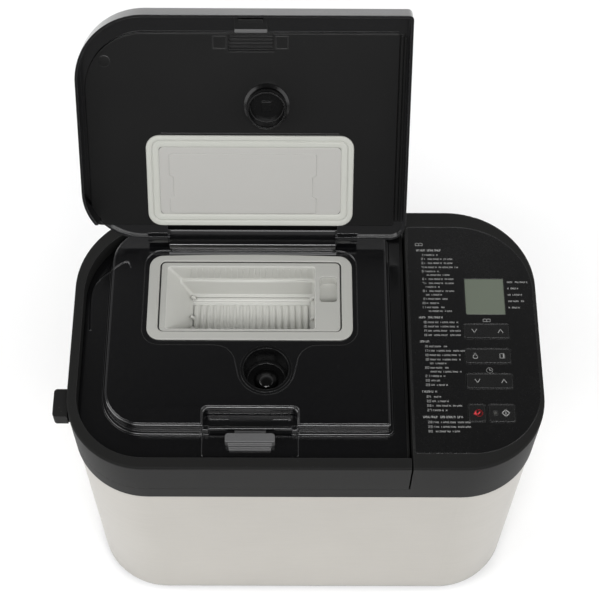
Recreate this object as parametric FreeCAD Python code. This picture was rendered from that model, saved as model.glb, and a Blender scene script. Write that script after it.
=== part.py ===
"""Bread machine with a hinged main lid, a raisin and yeast dispenser under a second lid, and a side panel.

Millimetres, +Z up, +X to the user's right, +Y to the back. The origin is the middle of the steel body's
footprint, on the surface that the rubber feet stand on.
"""
import FreeCAD, Part
import math
import os

os.makedirs("parts", exist_ok=True)

# ---- driving dimensions ------------------------------------------------------------------------------
# Body outline, seen from above. Corner radii run front left, front right, rear right, rear left.
BODY_W = 408.0
BODY_D = 253.0
CORNER_R = (68.0, 69.0, 76.0, 79.0)
SEAM_X = 89.0            # the line between the main lid and the control housing
SEAM_GAP = 1.6

# Heights, one on top of the other
FOOT_H = 4.0
FLOOR_T = 3.0
SHOULDER_H = 2.0         # step of the base tray that carries the steel case
CASE_H = 247.0
RING_OVERLAP = 5.0       # how far the upper housing reaches down over the case
LEDGE_T = 3.0
RING_RISE = 10.4         # from the ledge up to the top of the ring
LID_GAP = 0.6
LID_H = 43.0

# Walls and fits
CASE_T = 1.0
CASE_INSET = 1.3         # steel face behind the face of the upper housing
HOUSING_T = 3.0
LID_WALL_T = 2.5
SHEET_T = 1.0
FIT = 0.2                # between fixed parts that slot into each other
RUN_FIT = 0.05           # radial clearance of a pin or shaft that turns in its bore
FREE_GAP = 0.6           # between parts that pass each other as they move

# Rim round the main lid, wider at the front than at the left
RIM_LEFT = 8.2
RIM_FRONT = 10.2
RIM_REAR = 13.0
RIM_T = 3.0
DECK_T = 2.0
CHANNEL_DEPTH = 16.5     # channel round the raised deck, below the rim
DECK_DROP = 3.5          # raised deck, below the rim

# Baking chamber and pan, both centred on the kneading shaft
SHAFT_X = -55.0
SHAFT_Y = -5.0
CHAMBER_W = 230.0
CHAMBER_D = 190.0
CHAMBER_R = 40.0
CHAMBER_FLOOR_Z = 62.0
CHAMBER_LIP = 7.0
PAN_W = CHAMBER_W - 44.0
PAN_D = CHAMBER_D - 54.0
PAN_R = 30.0
PAN_T = 1.5
PAN_Z = 92.0
PAN_DROP = 27.0          # lip of the pan below the ledge
PAN_LIP = 4.0
PAN_LIP_H = 3.0

# Drive under the chamber
CHASSIS_Z = 34.0
CHASSIS_T = 1.5
SHAFT_R = 4.0
PULLEY_Z = 13.0
PULLEY_H = 12.0
LARGE_PULLEY_R = 45.0
MOTOR_PULLEY_R = 9.0
MOTOR_X = 130.0
MOTOR_Y = -5.0
MOTOR_R = 36.0
MOTOR_H = 62.0
BELT_T = 2.0
BELT_W = 8.0
BELT_GAP = 0.3

# Raisin dispenser
TRAY_X0 = -139.3
TRAY_X1 = 41.3
TRAY_Y0 = -4.4
TRAY_Y1 = 82.0
TRAY_R = 12.0
TRAY_FLANGE = 10.0
TRAY_T = 2.0
FLAP_HINGE_Y = 60.0
FLAP_HINGE_RISE = 3.5    # flap hinge above the inner lid
FLAP_X0 = -104.0
FLAP_X1 = 5.5
FLAP_PIN_R = 2.0

# Yeast dispenser
YEAST_X = -34.3
YEAST_Y = -31.7
YEAST_R = 19.0
YEAST_DEPTH = 23.5
VALVE_LIFT = 5.0

# Second lid, over the dispensers. It is drawn shut and then turned open.
TOP_HINGE_Y = BODY_D / 2 - 31.5
TOP_HINGE_RISE = 7.0     # hinge axis above the rim
TOP_OPEN_DEG = 124.0
TOP_RISE = 6.0           # face of the shut lid above the rim
TOP_T = 2.2
TOP_LIP_DROP = 15.5      # edge of the shut lid below the rim
TOP_GAP = 0.7            # to the inside of the rim
TOP_REAR_Y = TOP_HINGE_Y - 1.0
TOP_CORNER = (CORNER_R[0] - RIM_LEFT - TOP_GAP, 4.0, 12.0, 50.0)
BLOCK_X0 = -121.5
BLOCK_X1 = 26.6
BLOCK_Y0 = TOP_HINGE_Y - 11.0
BLOCK_Y1 = TOP_HINGE_Y + 7.0
BLOCK_RISE = 10.0
EAR_W = 18.0
EAR_R = 6.0
EAR_GAP = 1.5
TOP_PIN_R = 2.5

# Main lid hinge
MAIN_HINGE_Y = BODY_D / 2 - 6.0
MAIN_HINGE_DROP = 10.0
MAIN_PIN_R = 3.0
TOWER_W = 20.0
TOWER_X = (-105.0, 40.0)
TOWER_D = 11.0

# Latch of the second lid
LATCH_X = -47.3
LATCH_W = 42.4
LATCH_Y0 = -BODY_D / 2 + 22.7
LATCH_Y1 = LATCH_Y0 + 13.4
POCKET_W = 80.0
POCKET_Y1 = -BODY_D / 2 + 57.2

# Control panel
PANEL_FRONT_Y = -BODY_D / 2 + 14.5
PANEL_REAR_Y = BODY_D / 2 - 16.0
PANEL_SIDE = 2.8         # overlay edge in from the body's right face
OVERLAY_T = 1.5
PLATE_T = 3.5
KEY_X0 = 138.0
KEY_X1 = 177.6
KEY_H = 13.9
KEY_Y = (3.9, -20.5, -44.6)
PUSH_Y = -74.8
PUSH_H = 16.2
STOP_W = 14.4
PUSH_SPLIT = 3.0
KEY_PROUD = 0.6
KEY_T = 2.6
RIB_R = 1.2              # rounded foot of a rocker key's rib, which it pivots on
KEY_GAP = 0.4
LCD_X0 = 140.8
LCD_X1 = 175.8
LCD_Y0 = 20.6
LCD_Y1 = 53.4
LED_X = 160.8
LED_R = 1.5
BOARD_DROP = 12.0        # control board below the face of the panel
BOARD_T = 1.6
CONTROL_X0 = 118.0
CONTROL_X1 = 188.0
CONTROL_Y0 = -88.0
CONTROL_Y1 = 62.0
CONTROL_POST_INSET = 4.0
CONTROL_POST_R = 3.0
SWITCH_W = 6.0
SWITCH_R = 0.5
SWITCH_INSET = 6.0       # from the end of a rocker key to the middle of its switch
SWITCH_DROP = 7.0        # switch tops below the face of the panel
PUSH_TRAVEL = 0.9        # stem of a push key above its switch
STEM_R = 2.0
START_STEM_X = KEY_X1 - 7.5
POWER_X0 = 88.0
POWER_W = 96.0
POWER_Y = 66.0
POWER_H = 100.0

# ---- levels worked out from them ---------------------------------------------------------------------
FLOOR_Z = FOOT_H + FLOOR_T
CASE_Z = FLOOR_Z + SHOULDER_H
CASE_TOP = CASE_Z + CASE_H
RING_Z = CASE_TOP - RING_OVERLAP
LEDGE_Z = CASE_TOP + LEDGE_T
RING_TOP = LEDGE_Z + RING_RISE
SKIRT_Z = RING_TOP + LID_GAP
RIM_Z = SKIRT_Z + LID_H
CHANNEL_Z = RIM_Z - CHANNEL_DEPTH
DECK_Z = RIM_Z - DECK_DROP
LID_X1 = SEAM_X - SEAM_GAP / 2
HOUSING_X0 = SEAM_X + SEAM_GAP / 2
RIM_X0 = -BODY_W / 2 + RIM_LEFT
RIM_Y0 = -BODY_D / 2 + RIM_FRONT
RIM_Y1 = BODY_D / 2 - RIM_REAR
TOP_HINGE_Z = RIM_Z + TOP_HINGE_RISE
MAIN_HINGE_Z = RIM_Z - MAIN_HINGE_DROP
INNER_LID_Z = LEDGE_Z + 3.5
FLAP_HINGE_Z = INNER_LID_Z + FLAP_HINGE_RISE
SWITCH_TOP = RIM_Z - SWITCH_DROP
PAN_TOP = LEDGE_Z - PAN_DROP
FAR = 1000.0

UP = FreeCAD.Vector(0, 0, 1)
RIGHT = FreeCAD.Vector(1, 0, 0)
BACK = FreeCAD.Vector(0, 1, 0)


def at(x, y, z):
    return FreeCAD.Vector(x, y, z)


def box(x0, x1, y0, y1, z0, z1):
    return Part.makeBox(x1 - x0, y1 - y0, z1 - z0, at(x0, y0, z0))


def rod(radius, x, y, z0, z1):
    """Upright cylinder between two heights."""
    return Part.makeCylinder(radius, z1 - z0, at(x, y, z0))


def rod_x(radius, x0, x1, y, z):
    """Cylinder that lies along X."""
    return Part.makeCylinder(radius, x1 - x0, at(x0, y, z), RIGHT)


def rod_y(radius, x, y0, y1, z):
    """Cylinder that lies along Y."""
    return Part.makeCylinder(radius, y1 - y0, at(x, y0, z), BACK)


def slab(x0, x1, y0, y1, radii, z0, z1):
    """Block whose plan is a rectangle with rounded corners, in the order of CORNER_R."""
    turns = ((x0, y0, 1, 1), (x1, y0, -1, 1), (x1, y1, -1, -1), (x0, y1, 1, -1))
    starts = []
    for index, (x, y, to_x, to_y) in enumerate(turns):
        r = max(radii[index], 0.0)
        short = r * (1 - math.sqrt(0.5))
        along_x = at(x + to_x * r, y, z0)
        along_y = at(x, y + to_y * r, z0)
        middle = at(x + to_x * short, y + to_y * short, z0)
        ends = (along_y, along_x) if index % 2 == 0 else (along_x, along_y)
        starts.append((ends[0], middle, ends[1], r))
    edges = []
    for index, (first, middle, last, r) in enumerate(starts):
        if r > 0:
            edges.append(Part.Arc(first, middle, last).toShape())
        following = starts[(index + 1) % 4][0]
        if (following - last).Length > 1e-6:
            edges.append(Part.makeLine(last, following))
    return Part.Face(Part.Wire(edges)).extrude(at(0, 0, z1 - z0))


def even_slab(x0, x1, y0, y1, r, z0, z1):
    return slab(x0, x1, y0, y1, (r, r, r, r), z0, z1)


def centred_slab(x, y, width, depth, r, z0, z1):
    return even_slab(x - width / 2, x + width / 2, y - depth / 2, y + depth / 2, r, z0, z1)


def body_slab(inset, z0, z1):
    """The body's outline, moved in from its face."""
    half_w = BODY_W / 2 - inset
    half_d = BODY_D / 2 - inset
    return slab(-half_w, half_w, -half_d, half_d, [r - inset for r in CORNER_R], z0, z1)


def rim_slab(inset, z0, z1):
    """The opening inside the rim, up to the seam."""
    front_left = CORNER_R[0] - RIM_LEFT - inset
    rear_left = CORNER_R[3] - RIM_LEFT - inset
    return slab(RIM_X0 + inset, LID_X1, RIM_Y0 + inset, RIM_Y1 - inset, (front_left, 0, 0, rear_left), z0, z1)


def left_of(x, z0, z1):
    return box(-FAR, x, -FAR, FAR, z0, z1)


def right_of(x, z0, z1):
    return box(x, FAR, -FAR, FAR, z0, z1)


def join(first, *others):
    return first.fuse(list(others)).removeSplitter()


def cut(first, *others):
    return first.cut(list(others))


def save(node, shape):
    shape.exportStep("parts/%s.step" % node)


def opened(shape):
    """A piece of the second lid, turned from shut to its resting place, open on its stop."""
    turned = shape.copy()
    turned.rotate(at(0, TOP_HINGE_Y, TOP_HINGE_Z), RIGHT, -TOP_OPEN_DEG)
    return turned


# ---- base --------------------------------------------------------------------------------------------
FOOT_R = 9.0
FOOT_STEM_R = 3.0
FOOT_STEM_H = 6.0
FOOT_X = BODY_W / 2 - 54.0
FOOT_Y = BODY_D / 2 - 44.5
FOOT_PLACES = [(x, y) for x in (-FOOT_X, FOOT_X) for y in (-FOOT_Y, FOOT_Y)]
BASE_WALL_H = 16.0
BASE_WALL_T = 2.0
BOSS_R = 5.0
BOSS_Y = BODY_D / 2 - 34.5
BOSS_PLACES = [(-BODY_W / 2 + 24.0, 0.0), (-110.0, -BOSS_Y), (-110.0, BOSS_Y), (80.0, -BOSS_Y), (80.0, BOSS_Y),
               (BODY_W / 2 - 20.0, 0.0)]
SCREW_R = 2.0
SCREW_HEAD_R = 3.8
SCREW_HEAD_H = 2.2
SCREW_L = 12.0
FLOOR_SLOT_COUNT = 7
FLOOR_SLOT_PITCH = 7.0
FLOOR_SLOT_W = 3.0
FLOOR_SLOT_L = 26.0
FLOOR_SLOT_Y = 30.0
TRAY_STEP = 2.0          # each step of the tray's foot, in from the case
CHASSIS_TRIM = 20.5      # straight front and rear edge of the chassis, in from the body
CHASSIS_LEG_T = 2.0
CHASSIS_LEG_D = 80.0


def base_tray():
    """Moulded floor with a wall inside the case, a step that the case stands on, and screw posts."""
    inside_case = CASE_INSET + CASE_T + FIT
    tray = join(
        body_slab(CASE_INSET + TRAY_STEP, FOOT_H, FLOOR_Z),
        body_slab(CASE_INSET + TRAY_STEP / 4, FLOOR_Z, CASE_Z),
        body_slab(inside_case, CASE_Z, CASE_Z + BASE_WALL_H),
    )
    tray = cut(tray, body_slab(inside_case + BASE_WALL_T, FLOOR_Z, CASE_Z + BASE_WALL_H))
    for x, y in BOSS_PLACES:
        tray = tray.fuse(rod(BOSS_R, x, y, FLOOR_Z, CHASSIS_Z))
        tray = tray.cut(rod(SCREW_R - RUN_FIT, x, y, CHASSIS_Z - SCREW_L, CHASSIS_Z))
    for x, y in FOOT_PLACES:
        tray = tray.cut(rod(FOOT_STEM_R + FIT, x, y, FOOT_H, FLOOR_Z))
    for row in range(FLOOR_SLOT_COUNT):
        x = MOTOR_X + (row - (FLOOR_SLOT_COUNT - 1) / 2) * FLOOR_SLOT_PITCH
        tray = tray.cut(box(x, x + FLOOR_SLOT_W, FLOOR_SLOT_Y, FLOOR_SLOT_Y + FLOOR_SLOT_L, FOOT_H, FLOOR_Z))
    return tray.removeSplitter()


def feet():
    made = []
    for x, y in FOOT_PLACES:
        foot = join(
            rod(FOOT_R, x, y, 0.0, FOOT_H),
            rod(FOOT_STEM_R, x, y, FOOT_H, FOOT_H + FOOT_STEM_H),
        )
        rim = [e for e in foot.Edges if abs(e.BoundBox.ZMax) < 0.01]
        made.append(foot.makeFillet(1.0, rim))
    return Part.makeCompound(made)


def chassis_plate():
    """Steel plate that carries the chamber, the bearing and the motor."""
    trim_y = BODY_D / 2 - CHASSIS_TRIM
    plate = body_slab(CASE_INSET + CASE_T + 4.0, CHASSIS_Z, CHASSIS_Z + CHASSIS_T)
    plate = cut(
        plate,
        rod(BEARING_R + 1.0, SHAFT_X, SHAFT_Y, CHASSIS_Z, CHASSIS_Z + CHASSIS_T),
        rod(MOTOR_NOSE_R + 1.0, MOTOR_X, MOTOR_Y, CHASSIS_Z, CHASSIS_Z + CHASSIS_T),
        box(-FAR, FAR, -FAR, -trim_y, CHASSIS_Z, CHASSIS_Z + CHASSIS_T),
        box(-FAR, FAR, trim_y, FAR, CHASSIS_Z, CHASSIS_Z + CHASSIS_T),
    )
    for x, y in BOSS_PLACES:
        plate = plate.cut(rod(SCREW_R + FIT, x, y, CHASSIS_Z, CHASSIS_Z + CHASSIS_T))
    for side in (-1, 1):
        leg_x = SHAFT_X + side * (CHAMBER_W / 2 - 20.0)
        z0 = CHASSIS_Z + CHASSIS_T
        upright = box(leg_x - CHASSIS_LEG_T / 2, leg_x + CHASSIS_LEG_T / 2,
                      SHAFT_Y - CHASSIS_LEG_D / 2, SHAFT_Y + CHASSIS_LEG_D / 2, z0, CHAMBER_FLOOR_Z)
        plate = plate.fuse(upright)
    return plate.removeSplitter()


def chassis_screws():
    made = []
    z = CHASSIS_Z + CHASSIS_T
    for x, y in BOSS_PLACES:
        head = rod(SCREW_HEAD_R, x, y, z, z + SCREW_HEAD_H)
        slot = join(
            box(x - 2.2, x + 2.2, y - 0.4, y + 0.4, z + 1.2, z + SCREW_HEAD_H),
            box(x - 0.4, x + 0.4, y - 2.2, y + 2.2, z + 1.2, z + SCREW_HEAD_H),
        )
        shank = rod(SCREW_R - 2 * RUN_FIT, x, y, z - SCREW_L + 2.0, z)
        made.append(join(head, shank).cut(slot))
    return Part.makeCompound(made)


# ---- outer case --------------------------------------------------------------------------------------
INLET_X = 105.0
INLET_Z = 46.0
INLET_R = 9.0
INLET_BORE_R = 3.6
VENT_X0 = 20.0
VENT_COUNT = 7
VENT_PITCH = 9.0
VENT_W = 3.2
VENT_Z0 = 70.0
VENT_H = 34.0


def steel_case():
    """One wrapped sheet round the whole body, with vents and the cord hole at the back."""
    case = body_slab(CASE_INSET, CASE_Z, CASE_TOP).cut(body_slab(CASE_INSET + CASE_T, CASE_Z, CASE_TOP))
    y0 = BODY_D / 2 - 10.0
    case = case.cut(rod_y(INLET_R - 2.0, INLET_X, y0, y0 + 20.0, INLET_Z))
    for index in range(VENT_COUNT):
        x = VENT_X0 + index * VENT_PITCH
        low = VENT_Z0 + VENT_W / 2
        high = VENT_Z0 + VENT_H - VENT_W / 2
        case = cut(
            case,
            box(x - VENT_W / 2, x + VENT_W / 2, y0, y0 + 20.0, low, high),
            rod_y(VENT_W / 2, x, y0, y0 + 20.0, low),
            rod_y(VENT_W / 2, x, y0, y0 + 20.0, high),
        )
    return case


def cord_inlet():
    """Flanged bush for the mains lead, snapped into the hole at the back of the case."""
    x = INLET_X
    face = BODY_D / 2 - CASE_INSET
    bush = join(
        rod_y(INLET_R, x, face, face + 1.2, INLET_Z),
        rod_y(INLET_R - 2.0 - FIT, x, face - CASE_T, face, INLET_Z),
        rod_y(INLET_R, x, face - CASE_T - 2.5, face - CASE_T, INLET_Z),
        rod_y(INLET_R - 3.0, x, face - 14.0, face - CASE_T - 2.5, INLET_Z),
    )
    return bush.cut(rod_y(INLET_BORE_R, x, face - 20.0, face + 10.0, INLET_Z))


def key_openings(gap, z0, z1):
    """Openings for the keys, the display and the lamp."""
    holes = [even_slab(KEY_X0 - gap, KEY_X1 + gap, y - KEY_H / 2 - gap, y + KEY_H / 2 + gap, 2.5, z0, z1)
             for y in KEY_Y]
    low = PUSH_Y - PUSH_H / 2 - gap
    high = PUSH_Y + PUSH_H / 2 + gap
    holes.append(even_slab(KEY_X0 - gap, KEY_X0 + STOP_W + gap, low, high, 2.5, z0, z1))
    holes.append(even_slab(KEY_X0 + STOP_W + PUSH_SPLIT - gap, KEY_X1 + gap, low, high, 2.5, z0, z1))
    return holes


def upper_housing():
    """Ring on top of the case, the ledge round the chamber, and the control housing on the right."""
    ring = body_slab(0.0, RING_Z, RING_TOP)
    ring = cut(ring, body_slab(HOUSING_T, LEDGE_Z, RING_TOP), body_slab(CASE_INSET - FIT / 2, RING_Z, CASE_TOP))
    opening = CHAMBER_W + 2 * SHEET_T + 2 * FIT
    opening_d = CHAMBER_D + 2 * SHEET_T + 2 * FIT
    ring = ring.cut(centred_slab(SHAFT_X, SHAFT_Y, opening, opening_d, CHAMBER_R + SHEET_T, CASE_TOP, LEDGE_Z))
    ring = ring.cut(body_slab(HOUSING_T, CASE_TOP, LEDGE_Z).common(
        right_of(HOUSING_X0 + LID_WALL_T, CASE_TOP, LEDGE_Z)))
    outside = body_slab(0.0, LEDGE_Z, RIM_Z).common(right_of(HOUSING_X0, LEDGE_Z, RIM_Z))
    hollow = body_slab(HOUSING_T, LEDGE_Z, RIM_Z - PLATE_T).common(
        right_of(HOUSING_X0 + LID_WALL_T, LEDGE_Z, RIM_Z))
    housing = join(ring, outside).cut(hollow)
    top_edges = [e for e in housing.Edges
                 if abs(e.BoundBox.ZMin - RIM_Z) < 0.01 and abs(e.BoundBox.ZMax - RIM_Z) < 0.01
                 and e.BoundBox.XMax > HOUSING_X0 + 1.0]
    housing = housing.makeFillet(2.0, top_edges)
    housing = cut(housing, overlay_slab(-FIT / 2, RIM_Z - OVERLAY_T, RIM_Z + 1.0))
    housing = cut(housing, *key_openings(KEY_GAP, RIM_Z - PLATE_T, RIM_Z))
    housing = cut(
        housing,
        box(LCD_X0 - 1.0, LCD_X1 + 1.0, LCD_Y0 - 1.0, LCD_Y1 + 1.0, RIM_Z - PLATE_T, RIM_Z),
        rod(LED_R + FIT, LED_X, PUSH_Y, RIM_Z - PLATE_T, RIM_Z),
    )
    return housing.removeSplitter()


def overlay_slab(inset, z0, z1):
    right = BODY_W / 2 - PANEL_SIDE
    radii = (2.0, CORNER_R[1] - 9.0 - inset, CORNER_R[2] - 10.0 - inset, 2.0)
    return slab(HOUSING_X0 + 1.6 + inset, right - inset, PANEL_FRONT_Y + inset, PANEL_REAR_Y - inset, radii, z0, z1)


def control_overlay():
    """Glossy film plate set into the top of the control housing."""
    z0 = RIM_Z - OVERLAY_T
    plate = cut(overlay_slab(FIT / 2, z0, RIM_Z), *key_openings(KEY_GAP, z0, RIM_Z))
    return cut(
        plate,
        box(LCD_X0, LCD_X1, LCD_Y0, LCD_Y1, z0, RIM_Z),
        rod(LED_R + FIT, LED_X, PUSH_Y, z0, RIM_Z),
    )


def hinge_brackets():
    """Two posts that rise from the ring into notches at the back of the main lid."""
    made = []
    y1 = BODY_D / 2 - 0.5
    y0 = y1 - TOWER_D
    for x in TOWER_X:
        x0 = x - TOWER_W / 2
        x1 = x + TOWER_W / 2
        post = join(
            box(x0, x1, y0, y1 - HOUSING_T, LEDGE_Z, SKIRT_Z),
            box(x0, x1, y0, y1, SKIRT_Z, MAIN_HINGE_Z),
            rod_x(TOWER_D / 2, x0, x1, (y0 + y1) / 2, MAIN_HINGE_Z),
        )
        made.append(post.cut(rod_x(MAIN_PIN_R + RUN_FIT, x0, x1, MAIN_HINGE_Y, MAIN_HINGE_Z)))
    return Part.makeCompound(made)


# ---- chamber -----------------------------------------------------------------------------------------
HEATER_R = 3.5
HEATER_Z = 79.0
HEATER_INSET = 10.0
HEATER_BEND = 34.0
LEAD_SPACING = 20.0
LEAD_HOLE_R = 5.0
SENSOR_Z = 110.0
SENSOR_Y = 30.0
SENSOR_R = 2.5
BEARING_R = 14.0
SOCKET_R = 37.0
SOCKET_T = 4.0
SOCKET_H = 20.0


def oven_chamber():
    """Pressed sheet-metal well with a lip that hangs on the ledge."""
    outer_w = CHAMBER_W + 2 * SHEET_T
    outer_d = CHAMBER_D + 2 * SHEET_T
    outer_r = CHAMBER_R + SHEET_T
    well = join(
        centred_slab(SHAFT_X, SHAFT_Y, outer_w, outer_d, outer_r, CHAMBER_FLOOR_Z, LEDGE_Z),
        centred_slab(SHAFT_X, SHAFT_Y, outer_w + 2 * CHAMBER_LIP, outer_d + 2 * CHAMBER_LIP,
                     outer_r + CHAMBER_LIP, LEDGE_Z, LEDGE_Z + SHEET_T),
    )
    inside_z = CHAMBER_FLOOR_Z + SHEET_T
    well = cut(
        well,
        centred_slab(SHAFT_X, SHAFT_Y, CHAMBER_W, CHAMBER_D, CHAMBER_R, inside_z, LEDGE_Z + SHEET_T),
        rod(BEARING_R + FIT, SHAFT_X, SHAFT_Y, CHAMBER_FLOOR_Z, inside_z),
    )
    wall_x = SHAFT_X + CHAMBER_W / 2
    for side in (-1, 1):
        y = SHAFT_Y + side * LEAD_SPACING / 2
        well = well.cut(rod_x(LEAD_HOLE_R, wall_x - 1.0, wall_x + 3.0, y, HEATER_Z))
    return well.cut(rod_x(SENSOR_R + FIT, wall_x - 1.0, wall_x + 3.0, SENSOR_Y, SENSOR_Z))


def heater():
    """Sheathed heating tube, bent once round the foot of the chamber, with both ends out to the right."""
    x0 = SHAFT_X - CHAMBER_W / 2 + HEATER_INSET
    x1 = SHAFT_X + CHAMBER_W / 2 - HEATER_INSET
    y0 = SHAFT_Y - CHAMBER_D / 2 + HEATER_INSET
    y1 = SHAFT_Y + CHAMBER_D / 2 - HEATER_INSET
    bend = HEATER_BEND
    end_bend = 8.0
    near = SHAFT_Y - LEAD_SPACING / 2
    far = SHAFT_Y + LEAD_SPACING / 2
    out_x = x1 + HEATER_INSET + SHEET_T + 24.0
    z = HEATER_Z
    runs = [
        rod_x(HEATER_R, x1 + end_bend, out_x, near, z),
        rod_y(HEATER_R, x1, y0 + bend, near - end_bend, z),
        rod_x(HEATER_R, x0 + bend, x1 - bend, y0, z),
        rod_y(HEATER_R, x0, y0 + bend, y1 - bend, z),
        rod_x(HEATER_R, x0 + bend, x1 - bend, y1, z),
        rod_y(HEATER_R, x1, far + end_bend, y1 - bend, z),
        rod_x(HEATER_R, x1 + end_bend, out_x, far, z),
    ]

    def elbow(x, y, radius, start):
        ring = Part.makeTorus(radius, HEATER_R, at(0, 0, 0), UP, -180, 180, 90)
        ring.rotate(at(0, 0, 0), UP, start)
        ring.translate(at(x, y, z))
        return ring

    bends = [
        elbow(x1 + end_bend, near - end_bend, end_bend, 90),
        elbow(x1 - bend, y0 + bend, bend, 270),
        elbow(x0 + bend, y0 + bend, bend, 180),
        elbow(x0 + bend, y1 - bend, bend, 90),
        elbow(x1 - bend, y1 - bend, bend, 0),
        elbow(x1 + end_bend, far + end_bend, end_bend, 180),
    ]
    return join(runs[0], *(runs[1:] + bends))


def heater_clips():
    """Bands that hold the tube, each with a foot against the chamber wall."""
    made = []
    width = 8.0
    band_t = 1.0
    inner = HEATER_R + FIT
    outer = inner + band_t
    for side in (-1, 1):
        y = SHAFT_Y + side * (CHAMBER_D / 2 - HEATER_INSET)
        wall = SHAFT_Y + side * CHAMBER_D / 2
        for x in (SHAFT_X - 50.0, SHAFT_X + 50.0):
            band = rod_x(outer, x - width / 2, x + width / 2, y, HEATER_Z)
            low = min(y, wall)
            foot = box(x - width / 2, x + width / 2, low, low + HEATER_INSET, HEATER_Z - 0.8, HEATER_Z + 0.8)
            back = min(wall, wall - side * 1.2)
            plate = box(x - width / 2, x + width / 2, back, back + 1.2, HEATER_Z - 8.0, HEATER_Z + 8.0)
            made.append(join(band, foot, plate).cut(rod_x(inner, x - width, x + width, y, HEATER_Z)))
    return Part.makeCompound(made)


def temp_sensor():
    wall_x = SHAFT_X + CHAMBER_W / 2
    probe = join(
        rod_x(SENSOR_R, wall_x - 9.0, wall_x + 18.0, SENSOR_Y, SENSOR_Z),
        rod_x(SENSOR_R + 3.5, wall_x + SHEET_T, wall_x + SHEET_T + 2.5, SENSOR_Y, SENSOR_Z),
    )
    tip = [e for e in probe.Edges if abs(e.BoundBox.XMax - (wall_x - 9.0)) < 0.01]
    return probe.makeFillet(SENSOR_R * 0.6, tip)


def pan_socket():
    """Cast ring on the chamber floor that the pan's foot drops into."""
    z = CHAMBER_FLOOR_Z + SHEET_T
    socket = join(
        rod(SOCKET_R + SOCKET_T, SHAFT_X, SHAFT_Y, z, z + SOCKET_H),
        rod(SOCKET_R + SOCKET_T + 7.0, SHAFT_X, SHAFT_Y, z, z + 2.5),
    )
    return socket.cut(rod(SOCKET_R, SHAFT_X, SHAFT_Y, z, z + SOCKET_H))


def bearing_housing():
    """Cast boss with a flange on the chassis, and the bore that the drive shaft runs in."""
    z = CHASSIS_Z + CHASSIS_T
    boss = join(
        rod(BEARING_R, SHAFT_X, SHAFT_Y, CHASSIS_Z - 6.0, CHAMBER_FLOOR_Z + SHEET_T),
        rod(BEARING_R + 16.0, SHAFT_X, SHAFT_Y, z, z + 4.0),
    )
    for quarter in range(4):
        rib = box(BEARING_R - 1.0, BEARING_R + 13.0, -1.5, 1.5, z + 4.0, z + 16.0)
        slope = Part.makeBox(30.0, 8.0, 30.0, at(0, -4.0, 0))
        slope.rotate(at(0, 0, 0), BACK, 50.0)
        slope.translate(at(BEARING_R + 2.0, 0, z + 18.0))
        rib = rib.cut(slope)
        rib.rotate(at(0, 0, 0), UP, 45.0 + 90.0 * quarter)
        rib.translate(at(SHAFT_X, SHAFT_Y, 0))
        boss = boss.fuse(rib)
    return boss.removeSplitter().cut(rod(SHAFT_R + RUN_FIT, SHAFT_X, SHAFT_Y, 0, CHAMBER_FLOOR_Z + 10.0))


# ---- kneading drive ----------------------------------------------------------------------------------
COUPLING_R = 14.0
COUPLING_Z = 65.0
DOG_H = 8.0
BLADE_R = 60.0
BLADE_T = 4.0
BLADE_H = 30.0
MOTOR_NOSE_R = 11.0
MOTOR_SHAFT_R = 4.0


def drive_shaft():
    z0 = PULLEY_Z - 2.0
    shaft = rod(SHAFT_R, SHAFT_X, SHAFT_Y, z0, COUPLING_Z + 5.0)
    ends = [e for e in shaft.Edges if abs(e.BoundBox.ZMax - e.BoundBox.ZMin) < 0.01]
    return shaft.makeChamfer(0.5, ends)


def pulley(x, y, radius, hub_r, bore_r):
    """Flanged belt wheel. The belt runs on the middle band, between the two flanges."""
    flange_t = (PULLEY_H - BELT_W) / 2 - 0.5
    wheel = join(
        rod(radius, x, y, PULLEY_Z, PULLEY_Z + PULLEY_H),
        rod(radius + BELT_T + 1.0, x, y, PULLEY_Z, PULLEY_Z + flange_t),
        rod(radius + BELT_T + 1.0, x, y, PULLEY_Z + PULLEY_H - flange_t, PULLEY_Z + PULLEY_H),
    )
    if radius > 3 * hub_r:
        web_z = PULLEY_Z + PULLEY_H / 2 - 1.5
        rim_r = radius - 4.0
        pocket = rod(rim_r, x, y, web_z + 3.0, PULLEY_Z + PULLEY_H).cut(rod(hub_r, x, y, web_z, RIM_Z))
        under = rod(rim_r, x, y, PULLEY_Z, web_z).cut(rod(hub_r, x, y, PULLEY_Z, web_z))
        wheel = cut(wheel, pocket, under)
        for spoke in range(6):
            angle = math.radians(60.0 * spoke)
            reach = (rim_r + hub_r) / 2
            hole_x = x + reach * math.cos(angle)
            hole_y = y + reach * math.sin(angle)
            wheel = wheel.cut(rod((rim_r - hub_r) * 0.3, hole_x, hole_y, PULLEY_Z, PULLEY_Z + PULLEY_H))
    return wheel.cut(rod(bore_r, x, y, PULLEY_Z, PULLEY_Z + PULLEY_H)).removeSplitter()


def drive_belt():
    """Flat belt round both wheels: outer loop less inner loop."""
    z0 = PULLEY_Z + (PULLEY_H - BELT_W) / 2
    z1 = z0 + BELT_W

    def loop(extra):
        big = LARGE_PULLEY_R + extra
        small = MOTOR_PULLEY_R + extra
        span = MOTOR_X - SHAFT_X
        lean = math.asin((big - small) / span)
        across = math.sin(lean)
        along = math.cos(lean)
        top_big = at(SHAFT_X + big * across, SHAFT_Y + big * along, z0)
        low_big = at(SHAFT_X + big * across, SHAFT_Y - big * along, z0)
        top_small = at(MOTOR_X + small * across, MOTOR_Y + small * along, z0)
        low_small = at(MOTOR_X + small * across, MOTOR_Y - small * along, z0)
        edges = [
            Part.Arc(top_big, at(SHAFT_X - big, SHAFT_Y, z0), low_big).toShape(),
            Part.makeLine(low_big, low_small),
            Part.Arc(low_small, at(MOTOR_X + small, MOTOR_Y, z0), top_small).toShape(),
            Part.makeLine(top_small, top_big),
        ]
        return Part.Face(Part.Wire(edges)).extrude(at(0, 0, z1 - z0))

    return loop(BELT_GAP + BELT_T).cut(loop(BELT_GAP))


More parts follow.
